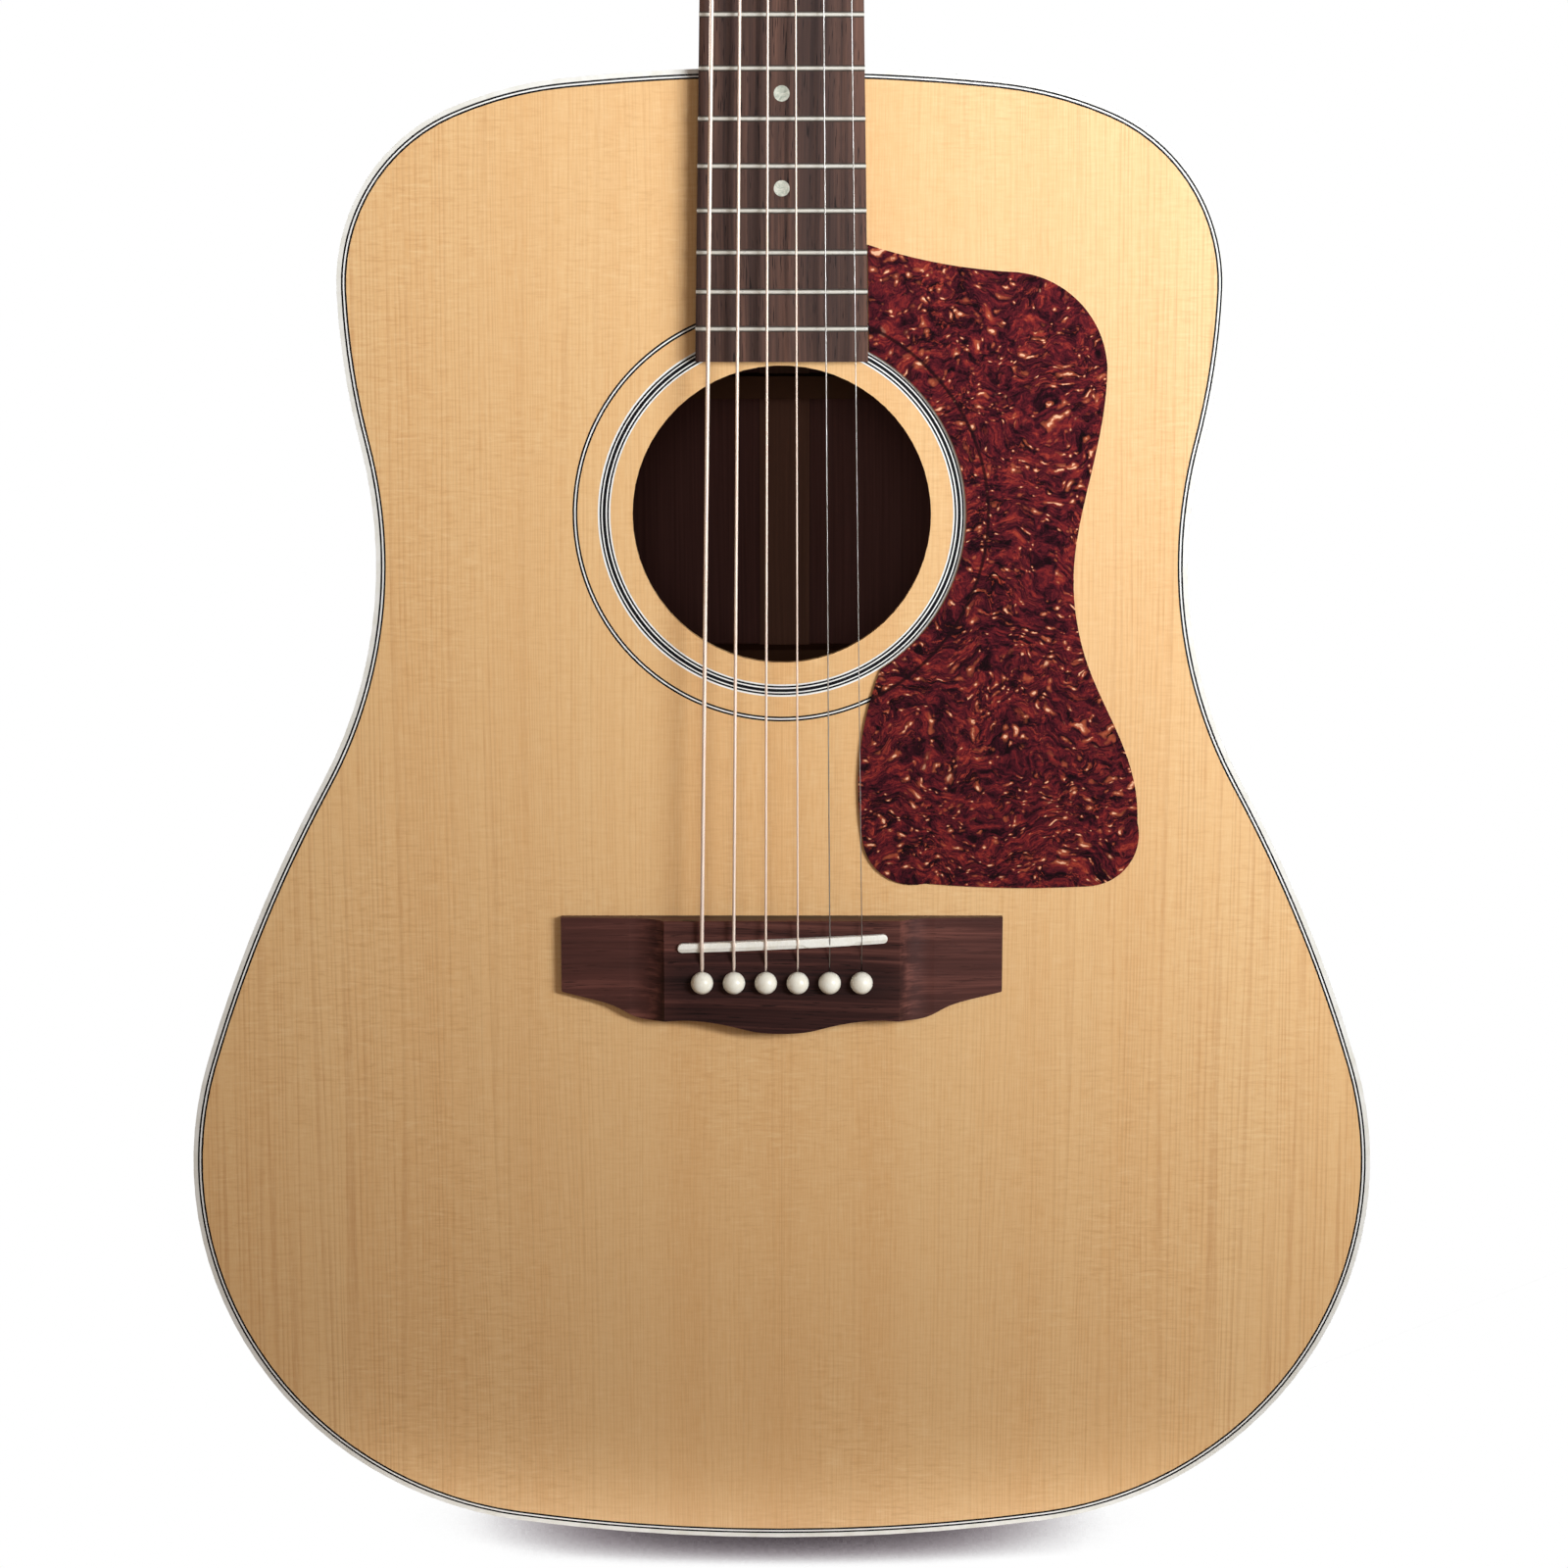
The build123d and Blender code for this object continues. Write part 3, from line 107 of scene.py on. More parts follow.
# ------------------------------------------------------------------ node helpers
class Shading:
    """A material's node tree, with short calls for the nodes that the finishes below share."""

    def __init__(self, name):
        self.material = bpy.data.materials.new(name)
        self.material.use_nodes = True
        self.tree = self.material.node_tree
        self.surface = self.tree.nodes["Principled BSDF"]
        coordinates = self.tree.nodes.new("ShaderNodeTexCoord")
        self.place = coordinates.outputs["Object"]
        self.facing = coordinates.outputs["Normal"]

    def add(self, kind, links=(), **settings):
        item = self.tree.nodes.new(kind)
        for key, value in settings.items():
            setattr(item, key, value)
        for socket, value in links:
            target = item.inputs[socket]
            if isinstance(value, bpy.types.NodeSocket):
                self.tree.links.new(value, target)
            else:
                target.default_value = value
        return item

    def stretched(self, scale, source=None, shift=(0, 0, 0)):
        """Coordinates scaled along each axis, per metre."""
        links = [("Vector", source or self.place), ("Scale", scale), ("Location", shift)]
        return self.add("ShaderNodeMapping", links).outputs["Vector"]

    def noise(self, vector, scale=1.0, detail=3.0, roughness=0.5, distortion=0.0):
        links = [("Vector", vector), ("Scale", scale), ("Detail", detail),
                 ("Roughness", roughness), ("Distortion", distortion)]
        return self.add("ShaderNodeTexNoise", links).outputs["Fac"]

    def noise_colour(self, vector, scale=1.0, detail=2.0):
        links = [("Vector", vector), ("Scale", scale), ("Detail", detail)]
        return self.add("ShaderNodeTexNoise", links).outputs["Color"]

    def math(self, operation, first, second=0.0, third=0.0):
        links = [(0, first), (1, second), (2, third)]
        return self.add("ShaderNodeMath", links, operation=operation).outputs[0]

    def shift_vector(self, vector, colour, amount):
        """Vector moved by a noise colour, so that what follows it wanders."""
        centred = self.add("ShaderNodeVectorMath", [(0, colour), (1, (0.5, 0.5, 0.5))],
                           operation="SUBTRACT").outputs[0]
        scaled = self.add("ShaderNodeVectorMath", [(0, centred), ("Scale", amount)],
                          operation="SCALE").outputs[0]
        return self.add("ShaderNodeVectorMath", [(0, vector), (1, scaled)], operation="ADD").outputs[0]

    def parts(self, vector=None):
        split = self.add("ShaderNodeSeparateXYZ", [(0, vector or self.place)])
        return split.outputs[0], split.outputs[1], split.outputs[2]

    def joined(self, x, y, z):
        return self.add("ShaderNodeCombineXYZ", [(0, x), (1, y), (2, z)]).outputs[0]

    def span(self, value, low, high, to_low=0.0, to_high=1.0, smooth=True):
        kind = "SMOOTHSTEP" if smooth else "LINEAR"
        links = [(0, value), (1, low), (2, high), (3, to_low), (4, to_high)]
        return self.add("ShaderNodeMapRange", links, interpolation_type=kind).outputs[0]

    def ramp(self, value, stops):
        item = self.add("ShaderNodeValToRGB", [(0, value)])
        band = item.color_ramp
        while len(band.elements) < len(stops):
            band.elements.new(0.5)
        for element, (position, colour) in zip(band.elements, stops):
            element.position = position
            element.color = (*colour, 1.0)
        return item.outputs[0]

    def mix(self, share, first, second, blend="MIX"):
        item = self.add("ShaderNodeMix", data_type="RGBA", blend_type=blend)
        for socket, value in ((0, share), (6, first), (7, second)):
            if isinstance(value, bpy.types.NodeSocket):
                self.tree.links.new(value, item.inputs[socket])
            elif socket == 0:
                item.inputs[0].default_value = value
            else:
                item.inputs[socket].default_value = (*value, 1.0)
        return item.outputs[2]

    def bump(self, height, strength, distance, onto=None):
        links = [("Height", height), ("Strength", strength), ("Distance", distance)]
        if onto is not None:
            links.append(("Normal", onto))
        return self.add("ShaderNodeBump", links).outputs["Normal"]

    def finish(self, colour, roughness, normal=None, **constants):
        """Wire the surface up; values that are the same all over go on its own sockets."""
        for name, value in (("Base Color", colour), ("Roughness", roughness), ("Normal", normal)):
            if isinstance(value, bpy.types.NodeSocket):
                self.tree.links.new(value, self.surface.inputs[name])
            elif name == "Base Color":
                self.surface.inputs[name].default_value = (*value, 1.0)
            elif value is not None:
                self.surface.inputs[name].default_value = value
        for name, value in constants.items():
            self.surface.inputs[name.replace("_", " ")].default_value = value
        return self.material


# ------------------------------------------------------------------ woods
def grain_space(shade, across, along, wander):
    """Coordinates whose first part runs across the grain; across and along name the axes."""
    axes = dict(zip("xyz", shade.parts()))
    slow = shade.joined(axes[across], 0.0, axes[along])
    drift = shade.noise(shade.stretched((14, 1, 4), slow), 1.0, 2.0)
    offset = shade.math("MULTIPLY", shade.math("SUBTRACT", drift, 0.5), wander)
    return axes, shade.math("ADD", axes[across], offset)


def spruce():
    """Book-matched spruce under clear lacquer: straight growth lines, and silk lying across them."""
    shade = Shading("spruce_top")
    x, _, z = shade.parts()
    mirrored = shade.math("ABSOLUTE", x)
    drift = shade.noise(shade.joined(shade.math("MULTIPLY", mirrored, 16.0), 0.0,
                                     shade.math("MULTIPLY", z, 2.2)), 1.0, 2.0)
    across = shade.math("MULTIPLY_ADD", drift, 0.012, mirrored)
    # Growth lines stand 1 mm apart at the seam and open out to 3 mm at the edges.
    opening = shade.math("MULTIPLY", shade.math("MULTIPLY", across, across), -1500.0)
    count = shade.math("MULTIPLY_ADD", across, 950.0, opening)
    wobble = shade.noise(shade.joined(shade.math("MULTIPLY", across, 110.0), 0.0, z), 1.0, 2.0)
    count = shade.math("MULTIPLY_ADD", wobble, 9.0, count)
    ring = shade.math("FRACT", count)
    late = shade.math("MULTIPLY", shade.span(ring, 0.35, 0.86), shade.span(ring, 1.0, 0.90))
    fade = shade.noise(shade.joined(shade.math("MULTIPLY", across, 330.0), 0.0,
                                    shade.math("MULTIPLY", z, 14.0)), 1.0, 3.0, 0.65)
    lines = shade.math("MULTIPLY", late, shade.span(fade, 0.3, 0.7, 0.25, 1.0))
    lines = shade.math("MULTIPLY", lines, shade.span(mirrored, 0.03, 0.17, 0.5, 1.0))
    fibre = shade.noise(shade.joined(shade.math("MULTIPLY", across, 2600.0), 0.0,
                                     shade.math("MULTIPLY", z, 90.0)), 1.0, 2.0, 0.6)
    silk = shade.noise(shade.joined(shade.math("MULTIPLY", x, 130.0), 3.0,
                                    shade.math("MULTIPLY", z, 900.0)), 1.0, 3.0, 0.65, 0.4)
    patch = shade.noise(shade.stretched((12, 1, 8)), 1.0, 2.0)
    depth = shade.span(patch, 0.35, 0.7, 0.35, 1.0)
    light_silk = shade.math("MULTIPLY", shade.span(silk, 0.50, 0.72), depth)
    dark_silk = shade.math("MULTIPLY", shade.span(silk, 0.50, 0.30), depth)
    bands = shade.noise(shade.joined(shade.math("MULTIPLY", across, 34.0), 1.0,
                                     shade.math("MULTIPLY", z, 0.8)), 1.0, 3.0, 0.6)
    colour = shade.ramp(bands, [(0.30, SPRUCE_WARM), (0.5, SPRUCE_MID), (0.70, SPRUCE_PALE)])
    colour = shade.mix(shade.math("MULTIPLY", lines, 0.58), colour, SPRUCE_LATE)
    colour = shade.mix(shade.span(fibre, 0.3, 0.8, 0.0, 0.34), colour, SPRUCE_BRIGHT)
    colour = shade.mix(shade.math("MULTIPLY", light_silk, 0.34), colour, SPRUCE_BRIGHT)
    colour = shade.mix(shade.math("MULTIPLY", dark_silk, 0.30), colour, SPRUCE_LATE)
    seam = shade.span(mirrored, 0.0, 0.0004, 0.18, 0.0)
    colour = shade.mix(seam, colour, SPRUCE_LATE)
    rough = shade.span(fibre, 0.2, 0.8, 0.34, 0.44)
    height = shade.math("SUBTRACT", fibre, lines)
    normal = shade.bump(height, 0.05, 0.0001)
    return shade.finish(colour, rough, normal, Coat_Weight=0.4, Coat_Roughness=0.45)


def dark_wood(name, across, along, dark, mid, light, streaks=230.0, pores=1.0, rough=0.35,
              coat=0.0, other="y", ribbon=0.0, shine=0.3, pale_ends=0.0):
    """An open-pored hardwood: long streaks, fine fibre and short dark pores along the grain."""
    shade = Shading(name)
    axes, position = grain_space(shade, across, along, 0.012)
    depth = shade.math("MULTIPLY", axes[other], streaks * 0.6)
    length = axes[along]
    wide = shade.noise(shade.joined(shade.math("MULTIPLY", position, streaks * 0.28), depth,
                                    shade.math("MULTIPLY", length, 2.6)), 1.0, 3.0, 0.55)
    fine = shade.noise(shade.joined(shade.math("MULTIPLY", position, streaks * 2.2), depth,
                                    shade.math("MULTIPLY", length, 10.0)), 1.0, 4.0, 0.65)
    blend = shade.math("ADD", shade.math("MULTIPLY", wide, 0.55), shade.math("MULTIPLY", fine, 0.45))
    colour = shade.ramp(blend, [(0.36, dark), (0.5, mid), (0.64, light)])
    pore = shade.noise(shade.joined(shade.math("MULTIPLY", position, 2300.0), depth,
                                    shade.math("MULTIPLY", length, 120.0)), 1.0, 2.0, 0.5)
    mask = shade.span(pore, 0.60, 0.70, 0.0, pores)
    colour = shade.mix(mask, colour, tuple(c * 0.35 for c in dark))
    if ribbon:
        shimmer = shade.noise(shade.joined(shade.math("MULTIPLY", position, 70.0), depth,
                                           shade.math("MULTIPLY", length, 26.0)), 1.0, 2.0)
        colour = shade.mix(shade.span(shimmer, 0.4, 0.7, 0.0, ribbon), colour, light)
    if pale_ends:
        reach = shade.math("ABSOLUTE", length)
        lift = tuple(c * 0.35 for c in light)
        colour = shade.mix(shade.span(reach, PALE_FROM, PALE_TO, 0.0, pale_ends), colour, lift, "ADD")
    roughness = shade.span(fine, 0.3, 0.7, rough - 0.05, rough + 0.08)
    height = shade.math("SUBTRACT", fine, shade.math("MULTIPLY", mask, 1.2))
    normal = shade.bump(height, 0.12 if coat else 0.25, 0.0001)
    return shade.finish(colour, roughness, normal, Coat_Weight=coat, Coat_Roughness=0.14,
                        Specular_IOR_Level=shine)


def plain_wood(name, across, along, dark, light):
    """Bare inner wood, as on braces, blocks and linings."""
    shade = Shading(name)
    axes, position = grain_space(shade, across, along, 0.006)
    fibre = shade.noise(shade.joined(shade.math("MULTIPLY", position, 900.0), 0.0,
                                     shade.math("MULTIPLY", axes[along], 12.0)), 1.0, 4.0, 0.6)
    colour = shade.ramp(fibre, [(0.3, dark), (0.7, light)])
    return shade.finish(colour, 0.7, shade.bump(fibre, 0.2, 0.0001), Specular_IOR_Level=0.15)


# ------------------------------------------------------------------ plastics, bone and shell
def tortoiseshell():
    """Celluloid: near-black and deep red swirls with orange wisps and small cream flecks.

    The outer lines of the rosette show through as a raised and darker ring.
    """
    shade = Shading("tortoiseshell")
    flat = shade.stretched((1, 0.1, 1))
    swirl = shade.noise_colour(shade.stretched((28, 28, 28), flat), 1.0, 3.0)
    bent = shade.shift_vector(flat, swirl, 0.036)
    curl = shade.noise_colour(shade.stretched((150, 150, 150), flat, (2, 5, 3)), 1.0, 3.0)
    bent = shade.shift_vector(bent, curl, 0.0075)
    cloud = shade.noise(shade.stretched((130, 130, 230), bent), 1.0, 6.0, 0.74)
    streak = shade.noise(shade.stretched((260, 260, 760), bent, (4, 0, 9)), 1.0, 5.0, 0.72)
    base = shade.math("ADD", shade.math("MULTIPLY", cloud, 0.6), shade.math("MULTIPLY", streak, 0.4))
    colour = shade.ramp(base, [(0.41, (0.006, 0.002, 0.004)), (0.47, (0.028, 0.004, 0.009)),
                               (0.525, (0.086, 0.009, 0.015)), (0.58, (0.19, 0.017, 0.018)),
                               (0.66, (0.40, 0.060, 0.030))])
    zone = shade.noise(shade.stretched((60, 60, 60), bent, (7, 2, 1)), 1.0, 2.0)
    wisp = shade.noise(shade.stretched((420, 420, 900), bent, (3, 1, 5)), 1.0, 4.0, 0.7)
    wisp = shade.math("MULTIPLY", shade.span(wisp, 0.53, 0.66), shade.span(zone, 0.42, 0.60))
    colour = shade.mix(shade.math("MULTIPLY", wisp, 0.7), colour, (0.42, 0.055, 0.032))
    for size, shift, density in ((1.0, (5, 5, 5), 0.74), (1.9, (2, 8, 3), 0.74)):
        place = shade.stretched((210 * size, 210 * size, 330 * size), bent, shift)
        cell = shade.add("ShaderNodeTexVoronoi", [("Vector", place), ("Scale", 1.0)])
        pick = shade.add("ShaderNodeSeparateColor", [(0, cell.outputs["Color"])]).outputs[0]
        chosen = shade.span(pick, density, density + 0.03)
        near = shade.math("ADD", cell.outputs["Distance"], shade.math("MULTIPLY", streak, 0.3))
        halo = shade.math("MULTIPLY", shade.span(near, 0.62, 0.34), chosen)
        core = shade.math("MULTIPLY", shade.span(near, 0.38, 0.27), chosen)
        colour = shade.mix(shade.math("MULTIPLY", halo, 0.8), colour, (0.42, 0.09, 0.04))
        colour = shade.mix(core, colour, (0.84, 0.46, 0.28))
    x, _, z = shade.parts()
    across = shade.math("SUBTRACT", x, rosette_centre.x)
    along = shade.math("SUBTRACT", z, rosette_centre.z)
    square = shade.math("MULTIPLY_ADD", across, across, shade.math("MULTIPLY", along, along))
    radius = shade.math("SQRT", square)
    apart = shade.math("ABSOLUTE", shade.math("SUBTRACT", radius, GUARD_RING_RADIUS))
    ring = shade.span(apart, 0.25 * MM, 0.8 * MM, 1.0, 0.0)
    colour = shade.mix(shade.math("MULTIPLY", ring, 0.85), colour, (0.012, 0.003, 0.005))
    roughness = shade.span(cloud, 0.3, 0.7, 0.09, 0.14)
    normal = shade.bump(ring, 0.35, 0.0001)
    return shade.finish(colour, roughness, normal, Specular_IOR_Level=0.35)


def moulded(name, light, dark, rough=0.25, mottling=160.0, **constants):
    """Polished plastic or bone: a soft mottling of two near tones, and faint polishing marks."""
    shade = Shading(name)
    cloud = shade.noise(shade.stretched((mottling, mottling, mottling)), 1.0, 3.0, 0.6)
    colour = shade.mix(shade.span(cloud, 0.35, 0.7), light, dark)
    marks = shade.noise(shade.stretched((2600, 700, 700)), 1.0, 2.0)
    roughness = shade.span(marks, 0.3, 0.7, rough - 0.04, rough + 0.06)
    return shade.finish(colour, roughness, shade.bump(marks, 0.03, 0.00005), **constants)


def pearl():
    """Mother-of-pearl: soft bands that shift between green-grey and pink-white."""
    shade = Shading("mother_of_pearl")
    warp = shade.noise_colour(shade.stretched((300, 300, 300)), 1.0, 2.0)
    place = shade.shift_vector(shade.place, warp, 0.0025)
    bands = shade.noise(shade.stretched((420, 420, 900), place), 1.0, 3.0, 0.6, 1.2)
    colour = shade.ramp(bands, [(0.3, (0.30, 0.34, 0.28)), (0.5, (0.52, 0.54, 0.45)),
                                (0.7, (0.74, 0.71, 0.62))])
    return shade.finish(colour, 0.14, shade.bump(bands, 0.05, 0.0001), Coat_Weight=0.5)


# ------------------------------------------------------------------ metals
def metal(name, light, dark, rough, streak=(2400, 2400, 300)):
    """Plated or drawn metal with fine handling marks and slightly duller patches."""
    shade = Shading(name)
    marks = shade.noise(shade.stretched(streak), 1.0, 3.0, 0.6)
    dull = shade.noise(shade.stretched((170, 170, 170)), 1.0, 3.0, 0.6)
    colour = shade.mix(shade.span(dull, 0.35, 0.7), light, dark)
    haze = shade.math("ADD", shade.span(marks, 0.3, 0.7, 0.0, 0.10), shade.span(dull, 0.4, 0.7, 0.0, 0.08))
    roughness = shade.math("ADD", haze, rough)
    return shade.finish(colour, roughness, shade.bump(marks, 0.06, 0.00005), Metallic=1.0)


def fret_wire():
    """Nickel-silver wire: painted shade down its flanks, so that only the crown stays bright."""
    shade = Shading("fret_wire")
    shaded_flank_slope = shade.math("ABSOLUTE", shade.parts(shade.facing)[2])
    marks = shade.noise(shade.stretched((300, 2400, 2400)), 1.0, 3.0, 0.6)
    crown = shade.mix(shade.span(marks, 0.35, 0.7), (0.92, 0.90, 0.82), (0.80, 0.77, 0.67))
    # Faces that look along the neck are painted near black: painted shade on the flanks.
    colour = shade.mix(shade.span(shaded_flank_slope, 0.30, 0.70), crown, (0.15, 0.13, 0.11))
    roughness = shade.span(marks, 0.3, 0.7, 0.26, 0.36)
    return shade.finish(colour, roughness, shade.bump(marks, 0.05, 0.00005), Metallic=0.45)


def wound_wire(name, pitch):
    """Bronze wire wound round a core: slanting ridges, with painted shade in the grooves between turns."""
    shade = Shading(name)
    x, y, z = shade.parts()
    lean = shade.math("MULTIPLY", shade.math("ADD", x, y), 0.35)
    turn = shade.math("DIVIDE", shade.math("ADD", z, lean), pitch)
    ridge = shade.math("ABSOLUTE", shade.math("SINE", shade.math("MULTIPLY", turn, math.pi)))
    tarnish = shade.noise(shade.stretched((300, 300, 40)), 1.0, 3.0)
    # Where the ridge falls away into a groove the colour is painted darker: painted shade.
    colour = shade.mix(shade.span(ridge, 0.1, 0.6), (0.72, 0.50, 0.38), (0.99, 0.84, 0.72))
    colour = shade.mix(shade.span(tarnish, 0.45, 0.75, 0.0, 0.3), colour, (0.80, 0.56, 0.42))
    return shade.finish(colour, 0.5, shade.bump(ridge, 0.2, 0.0001), Metallic=0.35)


# ------------------------------------------------------------------ mesh helpers
def new_piece(name, mesh, material, slot, *replaced, body=BODY):
    """Make a mesh into a named piece that rides on a body and may stand for CAD nodes."""
    piece = bpy.data.objects.new(name, mesh)
    bpy.context.scene.collection.objects.link(piece)
    mesh.materials.clear()
    mesh.materials.append(material)
    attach(piece, body)
    if replaced:
        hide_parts(*replaced)
    return piece


def smooth(mesh, degrees=35.0):
    """Shade smooth, but keep edges sharp where faces meet at more than an angle."""
    mesh.shade_smooth()
    work = bmesh.new()
    work.from_mesh(mesh)
    limit = math.radians(degrees)
    for edge in work.edges:
        flat = len(edge.link_faces) != 2 or edge.calc_face_angle(0.0) > limit
        edge.smooth = not flat
    work.to_mesh(mesh)
    work.free()


def outline_points(inset):
    """Both halves of the body outline, moved in by inset, as (x, z) points in metres."""
    inset_mm = inset / MM
    x, z, heading = 0.0, body_low_high[1].z / MM - inset_mm, 0.0
    points = [(x, z)]
    left = 180.0
    for radius, turn in OUTLINE_ARCS:
        moved = radius - inset_mm if turn > 0 else radius + inset_mm
        x, z, heading = walk_arc(points, x, z, heading, moved, turn)
        left -= turn
    # The last arc turns through what is left of half a circle and ends on the centre line.
    closing = x / math.sin(math.radians(left))
    walk_arc(points, x, z, heading, closing, left)
    half = [(px * MM, pz * MM) for px, pz in points]
    mirrored = [(-px, pz) for px, pz in reversed(half[1:-1])]
    return half + mirrored


def walk_arc(points, x, z, heading, radius, turn):
    """Append the points of one arc that turns clockwise, or the other way if turn is negative."""
    side = 1 if turn > 0 else -1
    centre_x = x - side * radius * math.sin(heading)
    centre_z = z - side * radius * math.cos(heading)
    steps = max(4, int(abs(turn) * OUTLINE_STEPS_PER_DEGREE * (1 + radius / 400)))
    start = heading
    for index in range(1, steps + 1):
        heading = start + math.radians(turn) * index / steps
        x = centre_x + side * radius * math.sin(heading)
        z = centre_z + side * radius * math.cos(heading)
        points.append((x, z))
    return x, z, heading


def band_mesh(name, outer, inner, front, back):
    """A closed band between two outlines with the same number of points, from y front to back."""
    work = bmesh.new()
    loops = []
    for outline, y in ((outer, front), (inner, front), (inner, back), (outer, back)):
        loops.append([work.verts.new((x, y, z)) for x, z in outline])
    count = len(outer)
    for near, far in zip(loops, loops[1:] + loops[:1]):
        for index in range(count):
            following = (index + 1) % count
            work.faces.new((near[index], near[following], far[following], far[index]))
    bmesh.ops.recalc_face_normals(work, faces=work.faces)
    mesh = bpy.data.meshes.new(name)
    work.to_mesh(mesh)
    work.free()
    smooth(mesh)
    return mesh


def circle_points(centre, radius, count=360):
    step = 2 * math.pi / count
    return [(centre.x + radius * math.sin(i * step), centre.z + radius * math.cos(i * step))
            for i in range(count)]


def joined_mesh(name, meshes):
    """One mesh from several."""
    work = bmesh.new()
    for mesh in meshes:
        work.from_mesh(mesh)
        bpy.data.meshes.remove(mesh)
    result = bpy.data.meshes.new(name)
    work.to_mesh(result)
    work.free()
    smooth(result)
    return result


# ------------------------------------------------------------------ pieces
body_low_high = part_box("top_binding")
rosette_low_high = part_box("rosette")
rosette_centre = (rosette_low_high[0] + rosette_low_high[1]) / 2


def build_rosette(materials):
    """Concentric lines let into the soundboard round the sound hole."""
    groups = {"white": [], "black": []}
    for inner, lines in (ROSETTE_MAIN, ROSETTE_OUTER):
        radius = inner * MM
        for tone, width in lines:
            outer = circle_points(rosette_centre, radius + width * MM)
            near = circle_points(rosette_centre, radius)
            groups[tone].append(band_mesh("line", outer, near, -INLAY_PROUD, INLAY_DEPTH))
            radius += width * MM
    for tone, meshes in groups.items():
        mesh = joined_mesh(f"rosette_{tone}", meshes)
        new_piece(f"rosette_{tone}_lines", mesh, materials[tone], "inlay", "rosette")


def build_purfling(materials):
    """Black, white and black lines just inside the binding."""
    inset = BINDING_WIDTH
    groups = {"white": [], "black": []}
    for tone, width in PURFLING:
        outer = outline_points(inset)
        inner = outline_points(inset + width * MM)
        groups[tone].append(band_mesh("line", outer, inner, -INLAY_PROUD, INLAY_DEPTH))
        inset += width * MM
    for tone, meshes in groups.items():
        mesh = joined_mesh(f"purfling_{tone}", meshes)
        new_piece(f"purfling_{tone}_lines", mesh, materials[tone], "inlay", "top_purfling")


# ------------------------------------------------------------------ finishes for CAD nodes
def finish_nodes(finishes):
    for name, material in finishes.items():
        mesh = nodes[name].data
        mesh.materials.clear()
        mesh.materials.append(material)


def outer_back_face(face):
    return face.normal.y > -0.5


def outer_side_face(face, side):
    """True for a face that looks away from the middle plane, or lies near it at either end."""
    return side * face.normal.x > -0.1 or side * face.center.x < 50 * MM


def bare_inside(name, material, outward):
    """Give a lacquered plate's faces that look into the sound box a finish of their own."""
    mesh = nodes[name].data
    mesh.materials.append(material)
    for face in mesh.polygons:
        if not outward(face):
            face.material_index = 1


def plate_shaft(name, plated):
    """A tuner's button is moulded; the shaft and the worm that it turns are plated."""
    low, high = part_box(name)
    outer_end = max(abs(low.x), abs(high.x))
    mesh = nodes[name].data
    mesh.materials.append(plated)
    for face in mesh.polygons:
        if abs(face.center.x) < outer_end - BUTTON_LENGTH:
            face.material_index = 1


# ------------------------------------------------------------------ studio
def build_studio():
    scene = bpy.context.scene
    scene.view_settings.view_transform = "Standard"
    build_surround(scene)
    build_floor(scene)
    key = add_light("key", (0.90, -0.977, -0.276), (0.903, 0.0, 0.80), 54.5, 0.70, 0.70)
    key.data.color = (0.95, 1.0, 1.05)
    keep_off(key, ("back_plate", "back_centre_strip", "back_braces"))
    lift = add_light("low_lift", (0.0, -0.03, -0.884), (0.0, 0.0, 0.0), 0.24, 0.50, 0.03)
    lift.visible_glossy = False
    fill = add_light("fill", (0.0, -1.30, -0.30), (0.0, 0.0, -0.45), 2.0, 0.35, 0.35)
    fill.visible_glossy = False
    add_light("back_wash", (-1.60, 1.15, -0.10), (0.0, 0.05, -0.40), 45.0, 1.0, 1.0)


def build_surround(scene):
    """A white surround that lights the guitar only softly and a little warmly."""
    world = bpy.data.worlds.new("studio")
    scene.world = world
    world.use_nodes = True
    tree = world.node_tree
    background = tree.nodes["Background"]
    path = tree.nodes.new("ShaderNodeLightPath")
    level = tree.nodes.new("ShaderNodeMix")
    level.data_type = "RGBA"
    tree.links.new(path.outputs["Is Camera Ray"], level.inputs[0])
    level.inputs[6].default_value = (*AMBIENT, 1.0)
    level.inputs[7].default_value = (*WHITE, 1.0)
    tree.links.new(level.outputs[2], background.inputs["Color"])


def build_floor(scene):
    """A glowing white floor with a painted contact shadow wherever the guitar stands close over it."""
    mesh = bpy.data.meshes.new("floor")
    work = bmesh.new()
    bmesh.ops.create_grid(work, x_segments=1, y_segments=1, size=FLOOR_HALF_WIDTH)
    work.to_mesh(mesh)
    work.free()
    floor = bpy.data.objects.new("floor", mesh)
    scene.collection.objects.link(floor)
    floor.location.z = cad_box[0].z - FLOOR_GAP
    floor.visible_diffuse = False
    floor.visible_glossy = False
    shade = Shading("white_floor_painted_shadow")
    # Ambient occlusion paints the contact shadow into the floor's glow: painted shadow, not cast by the
    # lamps.
    occlusion = shade.add("ShaderNodeAmbientOcclusion", [("Distance", SHADOW_REACH)], samples=32)
    colour = shade.ramp(occlusion.outputs["AO"], [(0.06, (0.04, 0.03, 0.035)),
                                                  (0.12, (0.34, 0.30, 0.32)), (0.22, WHITE)])
    shade.tree.links.new(colour, shade.surface.inputs["Emission Color"])
    mesh.materials.append(shade.finish((0.0, 0.0, 0.0), 1.0, Emission_Strength=1.0,
                                       Specular_IOR_Level=0.0))


def add_light(name, place, target, power, width, height):
    """A soft box that shows only by what it lights."""
    data = bpy.data.lights.new(name, "AREA")
    data.energy = power
    data.shape = "RECTANGLE"
    data.size = width
    data.size_y = height
    light = bpy.data.objects.new(name, data)
    bpy.context.scene.collection.objects.link(light)
    light.location = place
    light.rotation_mode = "QUATERNION"
    light.rotation_quaternion = (Vector(target) - Vector(place)).to_track_quat("-Z", "Y")
    light.visible_camera = False
    return light


